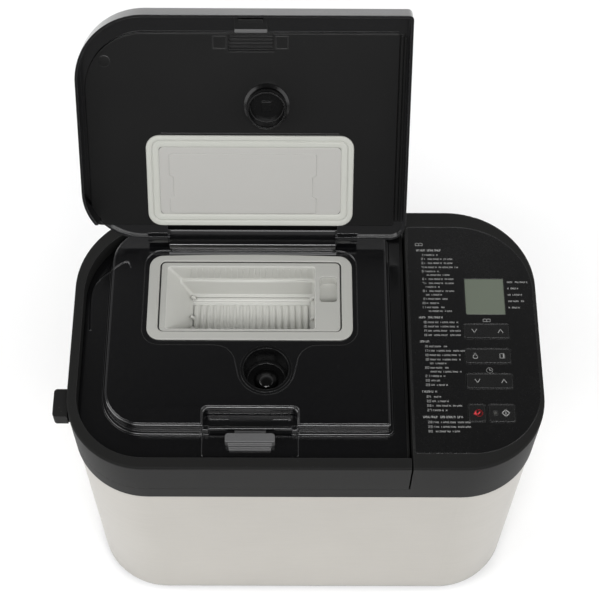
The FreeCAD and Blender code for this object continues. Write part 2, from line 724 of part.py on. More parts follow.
def drive_coupling():
    """Two-dog coupling on top of the drive shaft."""
    disc = rod(COUPLING_R, SHAFT_X, SHAFT_Y, COUPLING_Z, COUPLING_Z + 6.0)
    dogs = [box(SHAFT_X + side * 9.0 - 3.0, SHAFT_X + side * 9.0 + 3.0, SHAFT_Y - 6.0, SHAFT_Y + 6.0,
                COUPLING_Z + 6.0, COUPLING_Z + 6.0 + DOG_H) for side in (-1, 1)]
    made = join(disc, *dogs)
    return made.cut(rod(SHAFT_R + RUN_FIT, SHAFT_X, SHAFT_Y, COUPLING_Z, COUPLING_Z + 5.0))


def pan_coupling():
    """Wing on the pan shaft that drops between the dogs."""
    z0 = COUPLING_Z + 6.5
    wing = join(
        box(SHAFT_X - 3.5, SHAFT_X + 3.5, SHAFT_Y - 18.0, SHAFT_Y + 18.0, z0, z0 + 7.0),
        rod(7.0, SHAFT_X, SHAFT_Y, z0 + 7.6, z0 + 11.0),
        rod(5.5, SHAFT_X, SHAFT_Y, z0 + 6.0, z0 + 8.0),
    )
    return wing.cut(rod(SHAFT_R + RUN_FIT, SHAFT_X, SHAFT_Y, z0 + 2.0, z0 + 12.0))


def pan_shaft():
    z0 = COUPLING_Z + 8.5 + RUN_FIT
    shaft = rod(SHAFT_R, SHAFT_X, SHAFT_Y, z0, PAN_Z + 30.0)
    flat = box(SHAFT_X + 3.0, SHAFT_X + 6.0, SHAFT_Y - 6.0, SHAFT_Y + 6.0, PAN_Z + 8.0, PAN_Z + 40.0)
    return shaft.cut(flat)


def kneading_blade():
    """Cast hub with one swept paddle, pushed on to the flat of the pan shaft."""
    z0 = PAN_Z + PAN_T + 4.5
    hub = join(rod(9.0, SHAFT_X, SHAFT_Y, z0, z0 + 18.0), rod(12.0, SHAFT_X, SHAFT_Y, z0, z0 + 3.0))
    paddle = box(0.0, BLADE_R, -BLADE_T / 2, BLADE_T / 2, z0 + 0.5, z0 + 0.5 + BLADE_H)
    slope = Part.makeBox(90.0, 20.0, 60.0, at(0, -10.0, 0))
    slope.rotate(at(0, 0, 0), BACK, 24.0)
    slope.translate(at(8.0, 0, z0 + 33.0))
    paddle = paddle.cut(slope)
    corners = [e for e in paddle.Edges if abs(e.BoundBox.XMin - BLADE_R) < 0.01 and e.BoundBox.YLength > 1.0]
    paddle = paddle.makeFillet(4.0, corners)
    paddle.rotate(at(0, 0, 0), UP, 35.0)
    paddle.translate(at(SHAFT_X, SHAFT_Y, 0))
    bore = rod(SHAFT_R + RUN_FIT, SHAFT_X, SHAFT_Y, z0, PAN_Z + 30.5)
    return join(hub, paddle).cut(bore)


def motor():
    """Drive motor: can, end plate on the chassis, and a nose that reaches through it."""
    z = CHASSIS_Z + CHASSIS_T
    can = join(
        rod(MOTOR_R, MOTOR_X, MOTOR_Y, z + 3.0, z + 3.0 + MOTOR_H),
        centred_slab(MOTOR_X, MOTOR_Y, 2 * MOTOR_R + 14.0, 2 * MOTOR_R - 10.0, 8.0, z, z + 3.0),
        rod(MOTOR_NOSE_R, MOTOR_X, MOTOR_Y, CHASSIS_Z - 3.0, z),
        rod(12.0, MOTOR_X, MOTOR_Y, z + 3.0 + MOTOR_H, z + 9.0 + MOTOR_H),
    )
    for step in range(12):
        angle = math.radians(30.0 * step)
        x = MOTOR_X + MOTOR_R * math.cos(angle)
        y = MOTOR_Y + MOTOR_R * math.sin(angle)
        can = can.cut(rod(2.5, x, y, z + 12.0, z + MOTOR_H - 6.0))
    return can.cut(rod(MOTOR_SHAFT_R + RUN_FIT, MOTOR_X, MOTOR_Y, 0, z + MOTOR_H))


def motor_shaft():
    return rod(MOTOR_SHAFT_R, MOTOR_X, MOTOR_Y, PULLEY_Z - 1.0, CHASSIS_Z + CHASSIS_T + MOTOR_H - 2.0)


# ---- pan ---------------------------------------------------------------------------------------------
HANDLE_R = 2.5
HANDLE_SPAN = PAN_W / 2 + 11.0   # half of the bail's width
HANDLE_REACH = PAN_D / 2 + 12.0
HANDLE_BEND = 45.0
HANDLE_Z = PAN_TOP - 10.0
EAR_T = 3.0
BUSH_R = 8.0


def bread_pan():
    """Non-stick pan with a turned lip and an ear for the handle on each short side."""
    outer_w = PAN_W + 2 * PAN_T
    outer_d = PAN_D + 2 * PAN_T
    pan = join(
        centred_slab(SHAFT_X, SHAFT_Y, outer_w, outer_d, PAN_R + PAN_T, PAN_Z, PAN_TOP),
        centred_slab(SHAFT_X, SHAFT_Y, outer_w + 2 * PAN_LIP, outer_d + 2 * PAN_LIP, PAN_R + PAN_LIP,
                     PAN_TOP - PAN_LIP_H, PAN_TOP),
    )
    foot_edges = [e for e in pan.Edges if abs(e.BoundBox.ZMax - PAN_Z) < 0.01]
    pan = pan.makeFillet(10.0, foot_edges)
    inside = centred_slab(SHAFT_X, SHAFT_Y, PAN_W, PAN_D, PAN_R, PAN_Z + PAN_T, PAN_TOP + 5.0)
    inside_edges = [e for e in inside.Edges if abs(e.BoundBox.ZMax - PAN_Z - PAN_T) < 0.01]
    pan = pan.cut(inside.makeFillet(9.0, inside_edges))
    for side in (-1, 1):
        wall = SHAFT_X + side * outer_w / 2
        low = min(wall, wall + side * EAR_T)
        ear = join(
            box(low, low + EAR_T, SHAFT_Y - 8.0, SHAFT_Y + 8.0, HANDLE_Z, PAN_TOP - PAN_LIP_H),
            rod_x(8.0, low, low + EAR_T, SHAFT_Y, HANDLE_Z),
        )
        pan = pan.fuse(ear)
        pan = pan.cut(rod_x(HANDLE_R + RUN_FIT, low - 5.0, low + EAR_T + 5.0, SHAFT_Y, HANDLE_Z))
    return pan.removeSplitter().cut(rod(BUSH_R, SHAFT_X, SHAFT_Y, PAN_Z, PAN_Z + PAN_T))


def pan_foot():
    """Cast foot under the pan: a ring for the socket, a web against the pan, and three lugs."""
    outer = SOCKET_R - FREE_GAP
    foot = rod(outer, SHAFT_X, SHAFT_Y, PAN_Z - 18.0, PAN_Z)
    foot = foot.cut(rod(outer - 4.0, SHAFT_X, SHAFT_Y, PAN_Z - 18.0, PAN_Z - 2.5))
    lug_z = CHAMBER_FLOOR_Z + SHEET_T + SOCKET_H + FREE_GAP
    for third in range(3):
        lug = box(outer - 1.0, outer + 4.0, -6.0, 6.0, lug_z, PAN_Z)
        lug.rotate(at(0, 0, 0), UP, 30.0 + 120.0 * third)
        lug.translate(at(SHAFT_X, SHAFT_Y, 0))
        foot = foot.fuse(lug)
    return foot.removeSplitter().cut(rod(BUSH_R, SHAFT_X, SHAFT_Y, PAN_Z - 3.0, PAN_Z))


def pan_bush():
    """Sealed bush in the floor of the pan that the pan shaft turns in."""
    bush = join(
        rod(BUSH_R, SHAFT_X, SHAFT_Y, PAN_Z - 6.0, PAN_Z + PAN_T),
        rod(BUSH_R + 2.0, SHAFT_X, SHAFT_Y, PAN_Z + PAN_T, PAN_Z + PAN_T + 3.5),
    )
    return bush.cut(rod(SHAFT_R + RUN_FIT, SHAFT_X, SHAFT_Y, PAN_Z - 10.0, PAN_Z + 10.0))


def pan_handle():
    """Wire bail, folded flat round the front of the pan below the lip."""
    z = HANDLE_Z
    reach_y = SHAFT_Y - HANDLE_REACH
    left = SHAFT_X - HANDLE_SPAN
    right = SHAFT_X + HANDLE_SPAN
    bend = HANDLE_BEND
    inner = PAN_W / 2 + PAN_T + 0.3

    def elbow(x, y, start):
        ring = Part.makeTorus(bend, HANDLE_R, at(0, 0, 0), UP, -180, 180, 90)
        ring.rotate(at(0, 0, 0), UP, start)
        ring.translate(at(x, y, z))
        return ring

    ball = [Part.makeSphere(HANDLE_R, at(x, SHAFT_Y, z)) for x in (left, right)]
    return join(
        rod_x(HANDLE_R, left + bend, right - bend, reach_y, z),
        rod_y(HANDLE_R, left, reach_y + bend, SHAFT_Y, z),
        rod_y(HANDLE_R, right, reach_y + bend, SHAFT_Y, z),
        elbow(left + bend, reach_y + bend, 180),
        elbow(right - bend, reach_y + bend, 270),
        rod_x(HANDLE_R, left, SHAFT_X - inner, SHAFT_Y, z),
        rod_x(HANDLE_R, SHAFT_X + inner, right, SHAFT_Y, z),
        *ball,
    )


# ---- electronics -------------------------------------------------------------------------------------
def power_board():
    """Upright board behind the motor with its relay, capacitor and heat sink."""
    z = CHASSIS_Z + CHASSIS_T
    x0 = POWER_X0
    x1 = POWER_X0 + POWER_W
    front = POWER_Y
    back = POWER_Y + BOARD_T
    board = box(x0, x1, front, back, z, z + POWER_H)
    relay = box(x0 + 8.0, x0 + 30.0, front - 16.0, front, z + 60.0, z + 78.0)
    transformer = box(x0 + 36.0, x0 + 62.0, front - 14.0, front, z + 66.0, z + 90.0)
    capacitor = rod_y(9.0, x0 + 80.0, front - 22.0, front, z + 80.0)
    heat_sink = box(x0 + 4.0, x0 + 24.0, back, back + 12.4, z + 20.0, z + 50.0)
    terminals = box(x0 + 62.0, x0 + 90.0, front - 8.0, front, z + 40.0, z + 62.0)
    foot = box(x0, x1, back, back + 8.4, z, z + 1.5)
    return join(board, relay, transformer, capacitor, heat_sink, terminals, foot)


def control_board():
    """Board under the panel with a switch below each key and posts that carry the display."""
    top = RIM_Z - BOARD_DROP
    under = top - BOARD_T
    parts = []
    for y in KEY_Y:
        for x in (KEY_X0 + SWITCH_INSET, KEY_X1 - SWITCH_INSET):
            parts.append(centred_slab(x, y, SWITCH_W, SWITCH_W, SWITCH_R, top, SWITCH_TOP))
    for x in (KEY_X0 + STOP_W / 2, START_STEM_X):
        parts.append(centred_slab(x, PUSH_Y, SWITCH_W, SWITCH_W, SWITCH_R, top, SWITCH_TOP))
    processor = box(CONTROL_X0 + 6.0, CONTROL_X0 + 16.0, 30.0, 48.0, top, top + 4.0)
    connector = box(CONTROL_X0 + 32.0, CONTROL_X0 + 48.0, -60.0, -52.0, under - 5.0, under)
    for x in (CONTROL_X0 + CONTROL_POST_INSET, CONTROL_X1 - CONTROL_POST_INSET):
        for y in (CONTROL_Y0 + CONTROL_POST_INSET, CONTROL_Y1 - CONTROL_POST_INSET):
            parts.append(rod(CONTROL_POST_R, x, y, top, RIM_Z - PLATE_T))
    board = even_slab(CONTROL_X0, CONTROL_X1, CONTROL_Y0, CONTROL_Y1, 6.0, under, top)
    return join(board, processor, connector, *parts)


def lcd_module():
    top = RIM_Z - OVERLAY_T
    base = RIM_Z - BOARD_DROP
    glass = box(LCD_X0 + 0.4, LCD_X1 - 0.4, LCD_Y0 + 0.4, LCD_Y1 - 0.4, top - 3.0, top)
    holder = box(LCD_X0 + 1.5, LCD_X1 - 1.5, LCD_Y0 + 1.5, LCD_Y1 - 1.5, base, top - 3.0)
    return join(glass, holder)


def lcd_window():
    z0 = RIM_Z - OVERLAY_T
    return box(LCD_X0 + 0.1, LCD_X1 - 0.1, LCD_Y0 + 0.1, LCD_Y1 - 0.1, z0, RIM_Z - 0.2)


def start_lamp():
    z0 = RIM_Z - BOARD_DROP
    lens = rod(LED_R, LED_X, PUSH_Y, z0, RIM_Z + KEY_PROUD)
    return lens


def rocker_key(y):
    """Two-way key on a middle rib, so that pressing one end lifts the other."""
    top = RIM_Z + KEY_PROUD
    z0 = top - KEY_T
    middle = (KEY_X0 + KEY_X1) / 2
    cap = even_slab(KEY_X0, KEY_X1, y - KEY_H / 2, y + KEY_H / 2, 2.2, z0, top)
    face = [e for e in cap.Edges if abs(e.BoundBox.ZMin - top) < 0.01]
    cap = cap.makeFillet(0.5, face)
    rib_y0 = y - KEY_H / 2 + 1.0
    rib_y1 = y + KEY_H / 2 - 1.0
    pivot_z = RIM_Z - BOARD_DROP + FREE_GAP + RIB_R
    rib = box(middle - RIB_R, middle + RIB_R, rib_y0, rib_y1, pivot_z, z0)
    return join(cap, rib, rod_y(RIB_R, middle, rib_y0, rib_y1, pivot_z))


def push_key(x0, x1, stem_x):
    top = RIM_Z + KEY_PROUD
    z0 = top - KEY_T
    cap = even_slab(x0, x1, PUSH_Y - PUSH_H / 2, PUSH_Y + PUSH_H / 2, 2.2, z0, top)
    face = [e for e in cap.Edges if abs(e.BoundBox.ZMin - top) < 0.01]
    cap = cap.makeFillet(0.5, face)
    stem = rod(STEM_R, stem_x, PUSH_Y, SWITCH_TOP + PUSH_TRAVEL, z0)
    return join(cap, stem)


def stop_key():
    return push_key(KEY_X0, KEY_X0 + STOP_W, KEY_X0 + STOP_W / 2)


def start_key():
    key = push_key(KEY_X0 + STOP_W + PUSH_SPLIT, KEY_X1, START_STEM_X)
    return key.cut(rod(LED_R + KEY_GAP, LED_X, PUSH_Y, 0, FAR))


# ---- main lid ----------------------------------------------------------------------------------------
TAB_Y0 = -77.0
TAB_Y1 = -51.0
TAB_OUT = 11.5
TAB_H = 14.0
POST_R = 4.5
POST_LEFT = SHAFT_X - CHAMBER_W / 2 + 10.0
POST_RIGHT = SHAFT_X + CHAMBER_W / 2 + 2.0
POST_PLACES = [(POST_LEFT, -60.0), (POST_LEFT + 55.0, -97.0), (POST_RIGHT - 22.0, -97.0), (POST_LEFT, 60.0),
               (POST_RIGHT, 60.0), (-40.0, 92.0)]
MESA_X0 = -173.0
MESA_X1 = 72.7
MESA_Y0 = -BODY_D / 2 + 40.5
MESA_R = (34.0, 18.0, 18.0, 34.0)
LID_SEAT_W = 3.0
LUG_T = 6.0
INNER_LID_R = 46.0


def tower_room(gap, z0, z1):
    y0 = BODY_D / 2 - 0.5 - TOWER_D - gap
    return [box(x - TOWER_W / 2 - gap, x + TOWER_W / 2 + gap, y0, FAR, z0, z1) for x in TOWER_X]


def lid_rim():
    """Frame of the main lid: outer skirt, flat rim, inner wall, seat for the deck, tab and hinge lugs."""
    left = left_of(LID_X1, SKIRT_Z, RIM_Z)
    outside = body_slab(0.0, SKIRT_Z, RIM_Z).common(left)
    hollow = body_slab(LID_WALL_T, SKIRT_Z, RIM_Z - RIM_T).common(
        left_of(LID_X1 - DECK_T, SKIRT_Z, RIM_Z))
    shell = cut(outside, hollow, rim_slab(0.0, SKIRT_Z, RIM_Z))
    wall = rim_slab(-2.0, CHANNEL_Z - DECK_T - 2.0, RIM_Z - RIM_T).cut(rim_slab(0.0, SKIRT_Z, RIM_Z))
    seat = rim_slab(-2.0, CHANNEL_Z - DECK_T - 2.0, CHANNEL_Z - DECK_T).cut(
        rim_slab(LID_SEAT_W, SKIRT_Z, RIM_Z))
    seam_wall = body_slab(LID_WALL_T, SKIRT_Z, CHANNEL_Z).common(
        box(LID_X1 - DECK_T, LID_X1, -FAR, FAR, SKIRT_Z, CHANNEL_Z))
    inner_left = left_of(LID_X1 - DECK_T + 0.01, SKIRT_Z, RIM_Z)
    frame = join(shell, wall.common(inner_left), seat.common(inner_left), seam_wall)
    top = [e for e in frame.Edges
           if abs(e.BoundBox.ZMin - RIM_Z) < 0.01 and abs(e.BoundBox.ZMax - RIM_Z) < 0.01
           and outer_edge(e)]
    frame = frame.makeFillet(2.0, top)
    lugs = []
    for x in TOWER_X:
        for side in (-1, 1):
            lug_x = x + side * (TOWER_W / 2 + FREE_GAP + LUG_T / 2)
            lugs.append(box(lug_x - LUG_T / 2, lug_x + LUG_T / 2, MAIN_HINGE_Y - 6.0,
                            BODY_D / 2 - LID_WALL_T + 0.5, MAIN_HINGE_Z - 6.0, RIM_Z - RIM_T + 0.5))
    frame = join(frame, *lugs)
    frame = cut(frame, *tower_room(FREE_GAP, SKIRT_Z - 1.0, RIM_Z - RIM_T))
    for x in TOWER_X:
        reach = TOWER_W / 2 + FREE_GAP + LUG_T
        frame = frame.cut(rod_x(MAIN_PIN_R, x - reach, x + reach, MAIN_HINGE_Y, MAIN_HINGE_Z))
    wall_x = -BODY_W / 2
    tab = join(
        box(wall_x - TAB_OUT, wall_x + 1.0, TAB_Y0, TAB_Y1, RIM_Z - 19.0, RIM_Z - 19.0 + TAB_H),
        box(wall_x - 4.0, wall_x + 1.0, TAB_Y0 + 10.0, TAB_Y0 + 14.0, RIM_Z - 38.0, RIM_Z - 18.0),
    )
    corners = [e for e in tab.Edges
               if abs(e.BoundBox.XMax - (wall_x - TAB_OUT)) < 0.01 and e.BoundBox.ZLength > TAB_H - 1.0]
    tab = tab.makeFillet(3.0, corners)
    return join(frame, tab)


def outer_edge(edge):
    """True for an edge of the lid's top that lies on the body's outline, not round the opening or the seam."""
    bounds = edge.BoundBox
    inside_x = bounds.XMin > RIM_X0 - 1.0
    inside_y = bounds.YMin > RIM_Y0 - 1.0 and bounds.YMax < RIM_Y1 + 1.0
    return not (inside_x and inside_y) and bounds.XLength + bounds.YLength > RIM_FRONT + 1.0


def mesa_slab(inset, z0, z1):
    radii = [r - inset for r in MESA_R]
    return slab(MESA_X0 + inset, MESA_X1 - inset, MESA_Y0 + inset, RIM_Y1 - 3.0, radii, z0, z1)


def lid_deck():
    """Glossy deck: a channel floor inside the rim, a raised middle, and openings for both dispensers."""
    edge = FIT / 2
    bottom = CHANNEL_Z - DECK_T
    channel = rim_slab(edge, bottom, CHANNEL_Z).common(left_of(LID_X1 - DECK_T - edge, bottom, CHANNEL_Z))
    raised = mesa_slab(0.0, bottom, DECK_Z)
    hollow = mesa_slab(DECK_T, bottom - 1.0, DECK_Z - DECK_T)
    deck = join(channel, raised).cut(hollow)
    half_w = POCKET_W / 2
    pocket = box(LATCH_X - half_w, LATCH_X + half_w, MESA_Y0 - 1.0, POCKET_Y1, bottom, DECK_Z + 1.0)
    pocket_shell = box(LATCH_X - half_w - DECK_T, LATCH_X + half_w + DECK_T, MESA_Y0 + 0.5,
                       POCKET_Y1 + DECK_T, bottom, DECK_Z - DECK_T + 0.1)
    deck = join(deck, pocket_shell).cut(pocket.common(box(-FAR, FAR, -FAR, FAR, CHANNEL_Z, FAR)))
    tray_hole = even_slab(TRAY_X0 + 3.0, TRAY_X1 - 3.0, TRAY_Y0 + 3.0, TRAY_Y1 - 3.0, TRAY_R - 3.0,
                          bottom - 1.0, DECK_Z + 1.0)
    yeast_hole = rod(YEAST_R + 2.0 + FIT / 2, YEAST_X, YEAST_Y, bottom - 1.0, DECK_Z + 1.0)
    deck = cut(deck, tray_hole, yeast_hole)
    for x, y in POST_PLACES:
        in_middle = MESA_X0 < x < MESA_X1 and y > MESA_Y0
        top = DECK_Z - DECK_T if in_middle else bottom
        deck = deck.fuse(rod(POST_R, x, y, INNER_LID_Z + SHEET_T, top))
        deck = deck.cut(rod(SCREW_R - RUN_FIT, x, y, INNER_LID_Z, INNER_LID_Z + SHEET_T + SCREW_L))
    return deck.removeSplitter()


def inner_lid():
    """Pressed aluminium cover that faces the chamber, open below the raisin flap and the yeast tube."""
    z0 = INNER_LID_Z
    z1 = z0 + SHEET_T
    plate = even_slab(RIM_X0 + 8.8, LID_X1 - 8.7, RIM_Y0 + 3.3, RIM_Y1 - 4.5, INNER_LID_R, z0, z1)
    plate = cut(
        plate,
        even_slab(FLAP_X0 - 3.0, FLAP_X1 + 3.0, TRAY_Y0 + 4.0, FLAP_HINGE_Y + 12.0, 2.0, z0, z1),
        rod(YEAST_TUBE_R + 1.0, YEAST_X, YEAST_Y, z0, z1),
    )
    for x, y in POST_PLACES:
        plate = plate.cut(rod(SCREW_R + FIT, x, y, z0, z1))
    return join(plate, *flap_bearings())


def lid_screws():
    made = []
    for x, y in POST_PLACES:
        shank = rod(SCREW_R - 2 * RUN_FIT, x, y, INNER_LID_Z, INNER_LID_Z + SCREW_L - 1.0)
        made.append(join(rod(SCREW_HEAD_R, x, y, INNER_LID_Z - 1.6, INNER_LID_Z), shank))
    return Part.makeCompound(made)


def lid_gasket():
    """Silicone ring on the inner lid that closes on the ledge round the chamber."""
    z1 = INNER_LID_Z
    z0 = LEDGE_Z + 0.4
    half_w = CHAMBER_W / 2 + SHEET_T + CHAMBER_LIP + 1.5
    half_d = CHAMBER_D / 2 + SHEET_T + CHAMBER_LIP + 1.5
    corner = CHAMBER_R + SHEET_T + CHAMBER_LIP
    ring = centred_slab(SHAFT_X, SHAFT_Y, 2 * half_w + 6.0, 2 * half_d + 4.0, corner + 2.0, z0, z1)
    return ring.cut(centred_slab(SHAFT_X, SHAFT_Y, 2 * half_w, 2 * half_d, corner, z0, z1))


def hinge_block():
    """Housing between the two hinges of the second lid, with a bore for a pin in each end."""
    top = RIM_Z + BLOCK_RISE
    block = box(BLOCK_X0, BLOCK_X1, BLOCK_Y0, BLOCK_Y1, DECK_Z, top)
    long_edges = [e for e in block.Edges if e.BoundBox.XLength > 10.0 and e.BoundBox.ZMin > top - 1.0]
    block = block.makeFillet(3.0, long_edges)
    pin_l = 12.0
    return cut(
        block,
        rod_x(TOP_PIN_R, BLOCK_X0, BLOCK_X0 + pin_l, TOP_HINGE_Y, TOP_HINGE_Z),
        rod_x(TOP_PIN_R, BLOCK_X1 - pin_l, BLOCK_X1, TOP_HINGE_Y, TOP_HINGE_Z),
    )


def hinge_pins():
    """Steel pins: two for the second lid and two for the main lid."""
    pin_l = 12.0
    reach = EAR_GAP + EAR_W
    made = [
        rod_x(TOP_PIN_R, BLOCK_X0 - reach, BLOCK_X0 + pin_l, TOP_HINGE_Y, TOP_HINGE_Z),
        rod_x(TOP_PIN_R, BLOCK_X1 - pin_l, BLOCK_X1 + reach, TOP_HINGE_Y, TOP_HINGE_Z),
    ]
    for x in TOWER_X:
        half = TOWER_W / 2 + FREE_GAP + LUG_T
        made.append(rod_x(MAIN_PIN_R, x - half, x + half, MAIN_HINGE_Y, MAIN_HINGE_Z))
    return Part.makeCompound(made)


# ---- raisin dispenser --------------------------------------------------------------------------------
HOPPER_X0 = -123.0
HOPPER_X1 = FLAP_X1 + 3.0
HOPPER_Y0 = 7.0
HOPPER_Y1 = FLAP_HINGE_Y + 10.0
TRAY_LIP_T = 2.0
FINGER_X0 = 12.0
FINGER_X1 = 28.0
FINGER_Y0 = 34.0
FINGER_Y1 = 60.0
FINGER_DEPTH = 14.0
FLAP_RIBS = 18


def dispenser_frame():
    """Light grey frame round the raisin tray, lying on the deck."""
    z0 = DECK_Z
    z1 = DECK_Z + TRAY_LIP_T
    frame = even_slab(TRAY_X0, TRAY_X1, TRAY_Y0, TRAY_Y1, TRAY_R, z0, z1)
    return frame.cut(even_slab(TRAY_X0 + TRAY_FLANGE, TRAY_X1 - TRAY_FLANGE, TRAY_Y0 + TRAY_FLANGE - 2.0,
                               TRAY_Y1 - TRAY_FLANGE + 3.0, 5.0, z0, z1))


def dispenser_tray():
    """Hopper: sloping left wall, nearly upright other walls, a finger recess, and no floor where the flap is."""
    t = TRAY_T
    top = DECK_Z
    low = FLAP_HINGE_Z + 3.0
    hang = TRAY_FLANGE - 1.0
    flange = even_slab(TRAY_X0 + hang, TRAY_X1 - hang, TRAY_Y0 + hang - 2.0, TRAY_Y1 - hang + 3.0, 6.0, top - t, top)

    def hopper(grow, high):
        """Solid hopper space, grown outwards on every side."""
        x0 = HOPPER_X0 - grow
        x1 = HOPPER_X1 + grow
        y0 = HOPPER_Y0 - grow
        y1 = HOPPER_Y1 + grow
        foot_x0 = FLAP_X0 - grow + 1.5
        foot_y1 = FLAP_HINGE_Y + 4.0 + grow
        top_wire = Part.makePolygon([at(x0, y0, high), at(x1, y0, high), at(x1, y1, high), at(x0, y1, high),
                                     at(x0, y0, high)])
        foot_wire = Part.makePolygon([at(foot_x0, y0, low), at(x1, y0, low), at(x1, foot_y1, low),
                                      at(foot_x0, foot_y1, low), at(foot_x0, y0, low)])
        return Part.makeLoft([foot_wire, top_wire], True, True)

    shell = join(flange, hopper(t, top))
    floor = top - FINGER_DEPTH
    finger = box(FINGER_X0, FINGER_X1, FINGER_Y0, FINGER_Y1, floor, top + 1.0)
    finger_shell = box(FINGER_X0 - t, FINGER_X1 + t, FINGER_Y0 - t, FINGER_Y1 + t, floor - t, top)
    shell = join(shell, finger_shell)
    return cut(shell, hopper(0.0, top + 0.01), finger)


def dispenser_flap():
    """Ribbed floor of the hopper, on trunnions along its rear edge."""
    z = FLAP_HINGE_Z
    y0 = HOPPER_Y0 - 1.0
    y1 = FLAP_HINGE_Y
    plate = box(FLAP_X0, FLAP_X1, y0, y1, z - 1.0, z + 1.0)
    ribs = []
    pitch = (FLAP_X1 - FLAP_X0 - 8.0) / (FLAP_RIBS - 1)
    for index in range(FLAP_RIBS):
        x = FLAP_X0 + 4.0 + index * pitch
        ribs.append(box(x - 0.8, x + 0.8, y0 + 2.0, y1 - 4.0, z + 1.0, z + 2.2))
    barrel = rod_x(3.0, FLAP_X0, FLAP_X1, y1, z)
    trunnion = rod_x(FLAP_PIN_R, FLAP_X0 - 5.0, FLAP_X1 + 5.0, y1, z)
    return join(plate, barrel, trunnion, *ribs)


def flap_bearings():
    """Two tabs bent up from the edges of the inner lid's opening, which carry the flap's trunnions."""
    made = []
    for x0 in (FLAP_X0 - 4.5, FLAP_X1 + 1.5):
        x1 = x0 + 3.0
        plate = box(x0, x1, FLAP_HINGE_Y - 6.0, FLAP_HINGE_Y + 14.0, INNER_LID_Z, FLAP_HINGE_Z + 2.9)
        made.append(plate.cut(rod_x(FLAP_PIN_R + RUN_FIT, x0, x1, FLAP_HINGE_Y, FLAP_HINGE_Z)))
    return made


SOLENOID_PLACES = [(50.0, 28.0), (10.0, -44.0)]
SOLENOID_W = 18.0
SOLENOID_L = 28.0
SOLENOID_H = 18.0
SOLENOID_SHEET_T = 2.0
COIL_R = 8.6
COIL_RISE = 10.0
PLUNGER_R = 2.5


def solenoids():
    """Two pull magnets between the deck and the inner lid: one for the flap and one for the yeast valve."""
    made = []
    z0 = INNER_LID_Z + SHEET_T
    for x, y in SOLENOID_PLACES:
        x0 = x - SOLENOID_W / 2
        x1 = x + SOLENOID_W / 2
        y0 = y - SOLENOID_L / 2
        y1 = y + SOLENOID_L / 2
        floor = box(x0, x1, y0, y1, z0, z0 + SOLENOID_SHEET_T)
        front = box(x0, x1, y0, y0 + SOLENOID_SHEET_T, z0, z0 + SOLENOID_H)
        back = box(x0, x1, y1 - SOLENOID_SHEET_T, y1, z0, z0 + SOLENOID_H)
        coil = rod_y(COIL_R, x, y0 + 1.5, y1 - 1.5, z0 + COIL_RISE)
        plunger = rod_y(PLUNGER_R, x, y0 - 6.0, y1 + 2.0, z0 + COIL_RISE)
        made.append(join(floor, coil, plunger, front, back))
    return Part.makeCompound(made)


# ---- yeast dispenser ---------------------------------------------------------------------------------
YEAST_TUBE_R = 9.0
VALVE_R = 10.5
VALVE_STEM_R = 2.5


def yeast_cup():
    """Round well with an outlet tube down to the inner lid, and a spider that guides the valve stem."""
    floor = DECK_Z - YEAST_DEPTH
    outer = YEAST_R + 2.0
    tube_low = INNER_LID_Z - 1.0
    cup = join(
        rod(outer, YEAST_X, YEAST_Y, floor - 2.0, DECK_Z),
        rod(outer + 1.8, YEAST_X, YEAST_Y, DECK_Z, DECK_Z + 0.8),
        rod(YEAST_TUBE_R, YEAST_X, YEAST_Y, tube_low, floor - 2.0),
    )
    cup = cut(
        cup,
        rod(YEAST_R, YEAST_X, YEAST_Y, floor, DECK_Z + 1.0),
        rod(YEAST_TUBE_R - 1.5, YEAST_X, YEAST_Y, tube_low, floor),
    )
    bar_z = floor - 14.0
    spider = join(
        box(YEAST_X - YEAST_TUBE_R + 1.0, YEAST_X + YEAST_TUBE_R - 1.0, YEAST_Y - 1.0, YEAST_Y + 1.0, bar_z, bar_z + 3.0),
        rod(VALVE_STEM_R + 1.5, YEAST_X, YEAST_Y, bar_z, bar_z + 3.0),
    )
    return join(cup, spider).cut(rod(VALVE_STEM_R + RUN_FIT, YEAST_X, YEAST_Y, bar_z, bar_z + 3.0))


def yeast_valve():
    """Mushroom valve that closes the well from above."""
    floor = DECK_Z - YEAST_DEPTH
    dome_r = 14.0
    lift = 0.1
    sink = math.sqrt(dome_r ** 2 - VALVE_R ** 2)
    dome = Part.makeSphere(dome_r, at(YEAST_X, YEAST_Y, floor + lift + 1.0 - sink))
    dome = dome.common(box(-FAR, FAR, -FAR, FAR, floor + lift + 1.0, FAR))
    return join(
        dome,
        rod(VALVE_R, YEAST_X, YEAST_Y, floor + lift, floor + lift + 1.0),
        rod(VALVE_STEM_R, YEAST_X, YEAST_Y, floor - 17.0, floor + lift),
    )


# ---- latch -------------------------------------------------------------------------------------------
def latch_slider():
    """Stepped catch that slides back against its spring when the second lid is pressed."""
    x0 = LATCH_X - LATCH_W / 2
    x1 = LATCH_X + LATCH_W / 2
    z0 = CHANNEL_Z + 0.3
    return join(
        box(x0, x1, LATCH_Y0, LATCH_Y1, z0, z0 + 5.0),
        box(x0 + 2.0, x1 - 2.0, LATCH_Y0 + 6.0, LATCH_Y1, z0 + 5.0, z0 + 9.0),
        box(x0 + 8.0, x1 - 8.0, LATCH_Y1, LATCH_Y1 + 8.0, z0, z0 + 4.0),
    )


# ---- second lid --------------------------------------------------------------------------------------
TOP_X0 = RIM_X0 + TOP_GAP
TOP_X1 = LID_X1 - 0.5
TOP_Y0 = RIM_Y0 + TOP_GAP
LINER_DROP = 0.4         # liner face above the rim when the lid is shut
PAD_GAP = 0.4
PLUG_R = YEAST_R - 1.8
PLUG_H = 13.5
PULL_X0 = -59.5
PULL_X1 = -35.0


def top_slab(inset, z0, z1):
    radii = [r - inset for r in TOP_CORNER]
    return slab(TOP_X0 + inset, TOP_X1 - inset, TOP_Y0 + inset, TOP_REAR_Y - inset, radii, z0, z1)


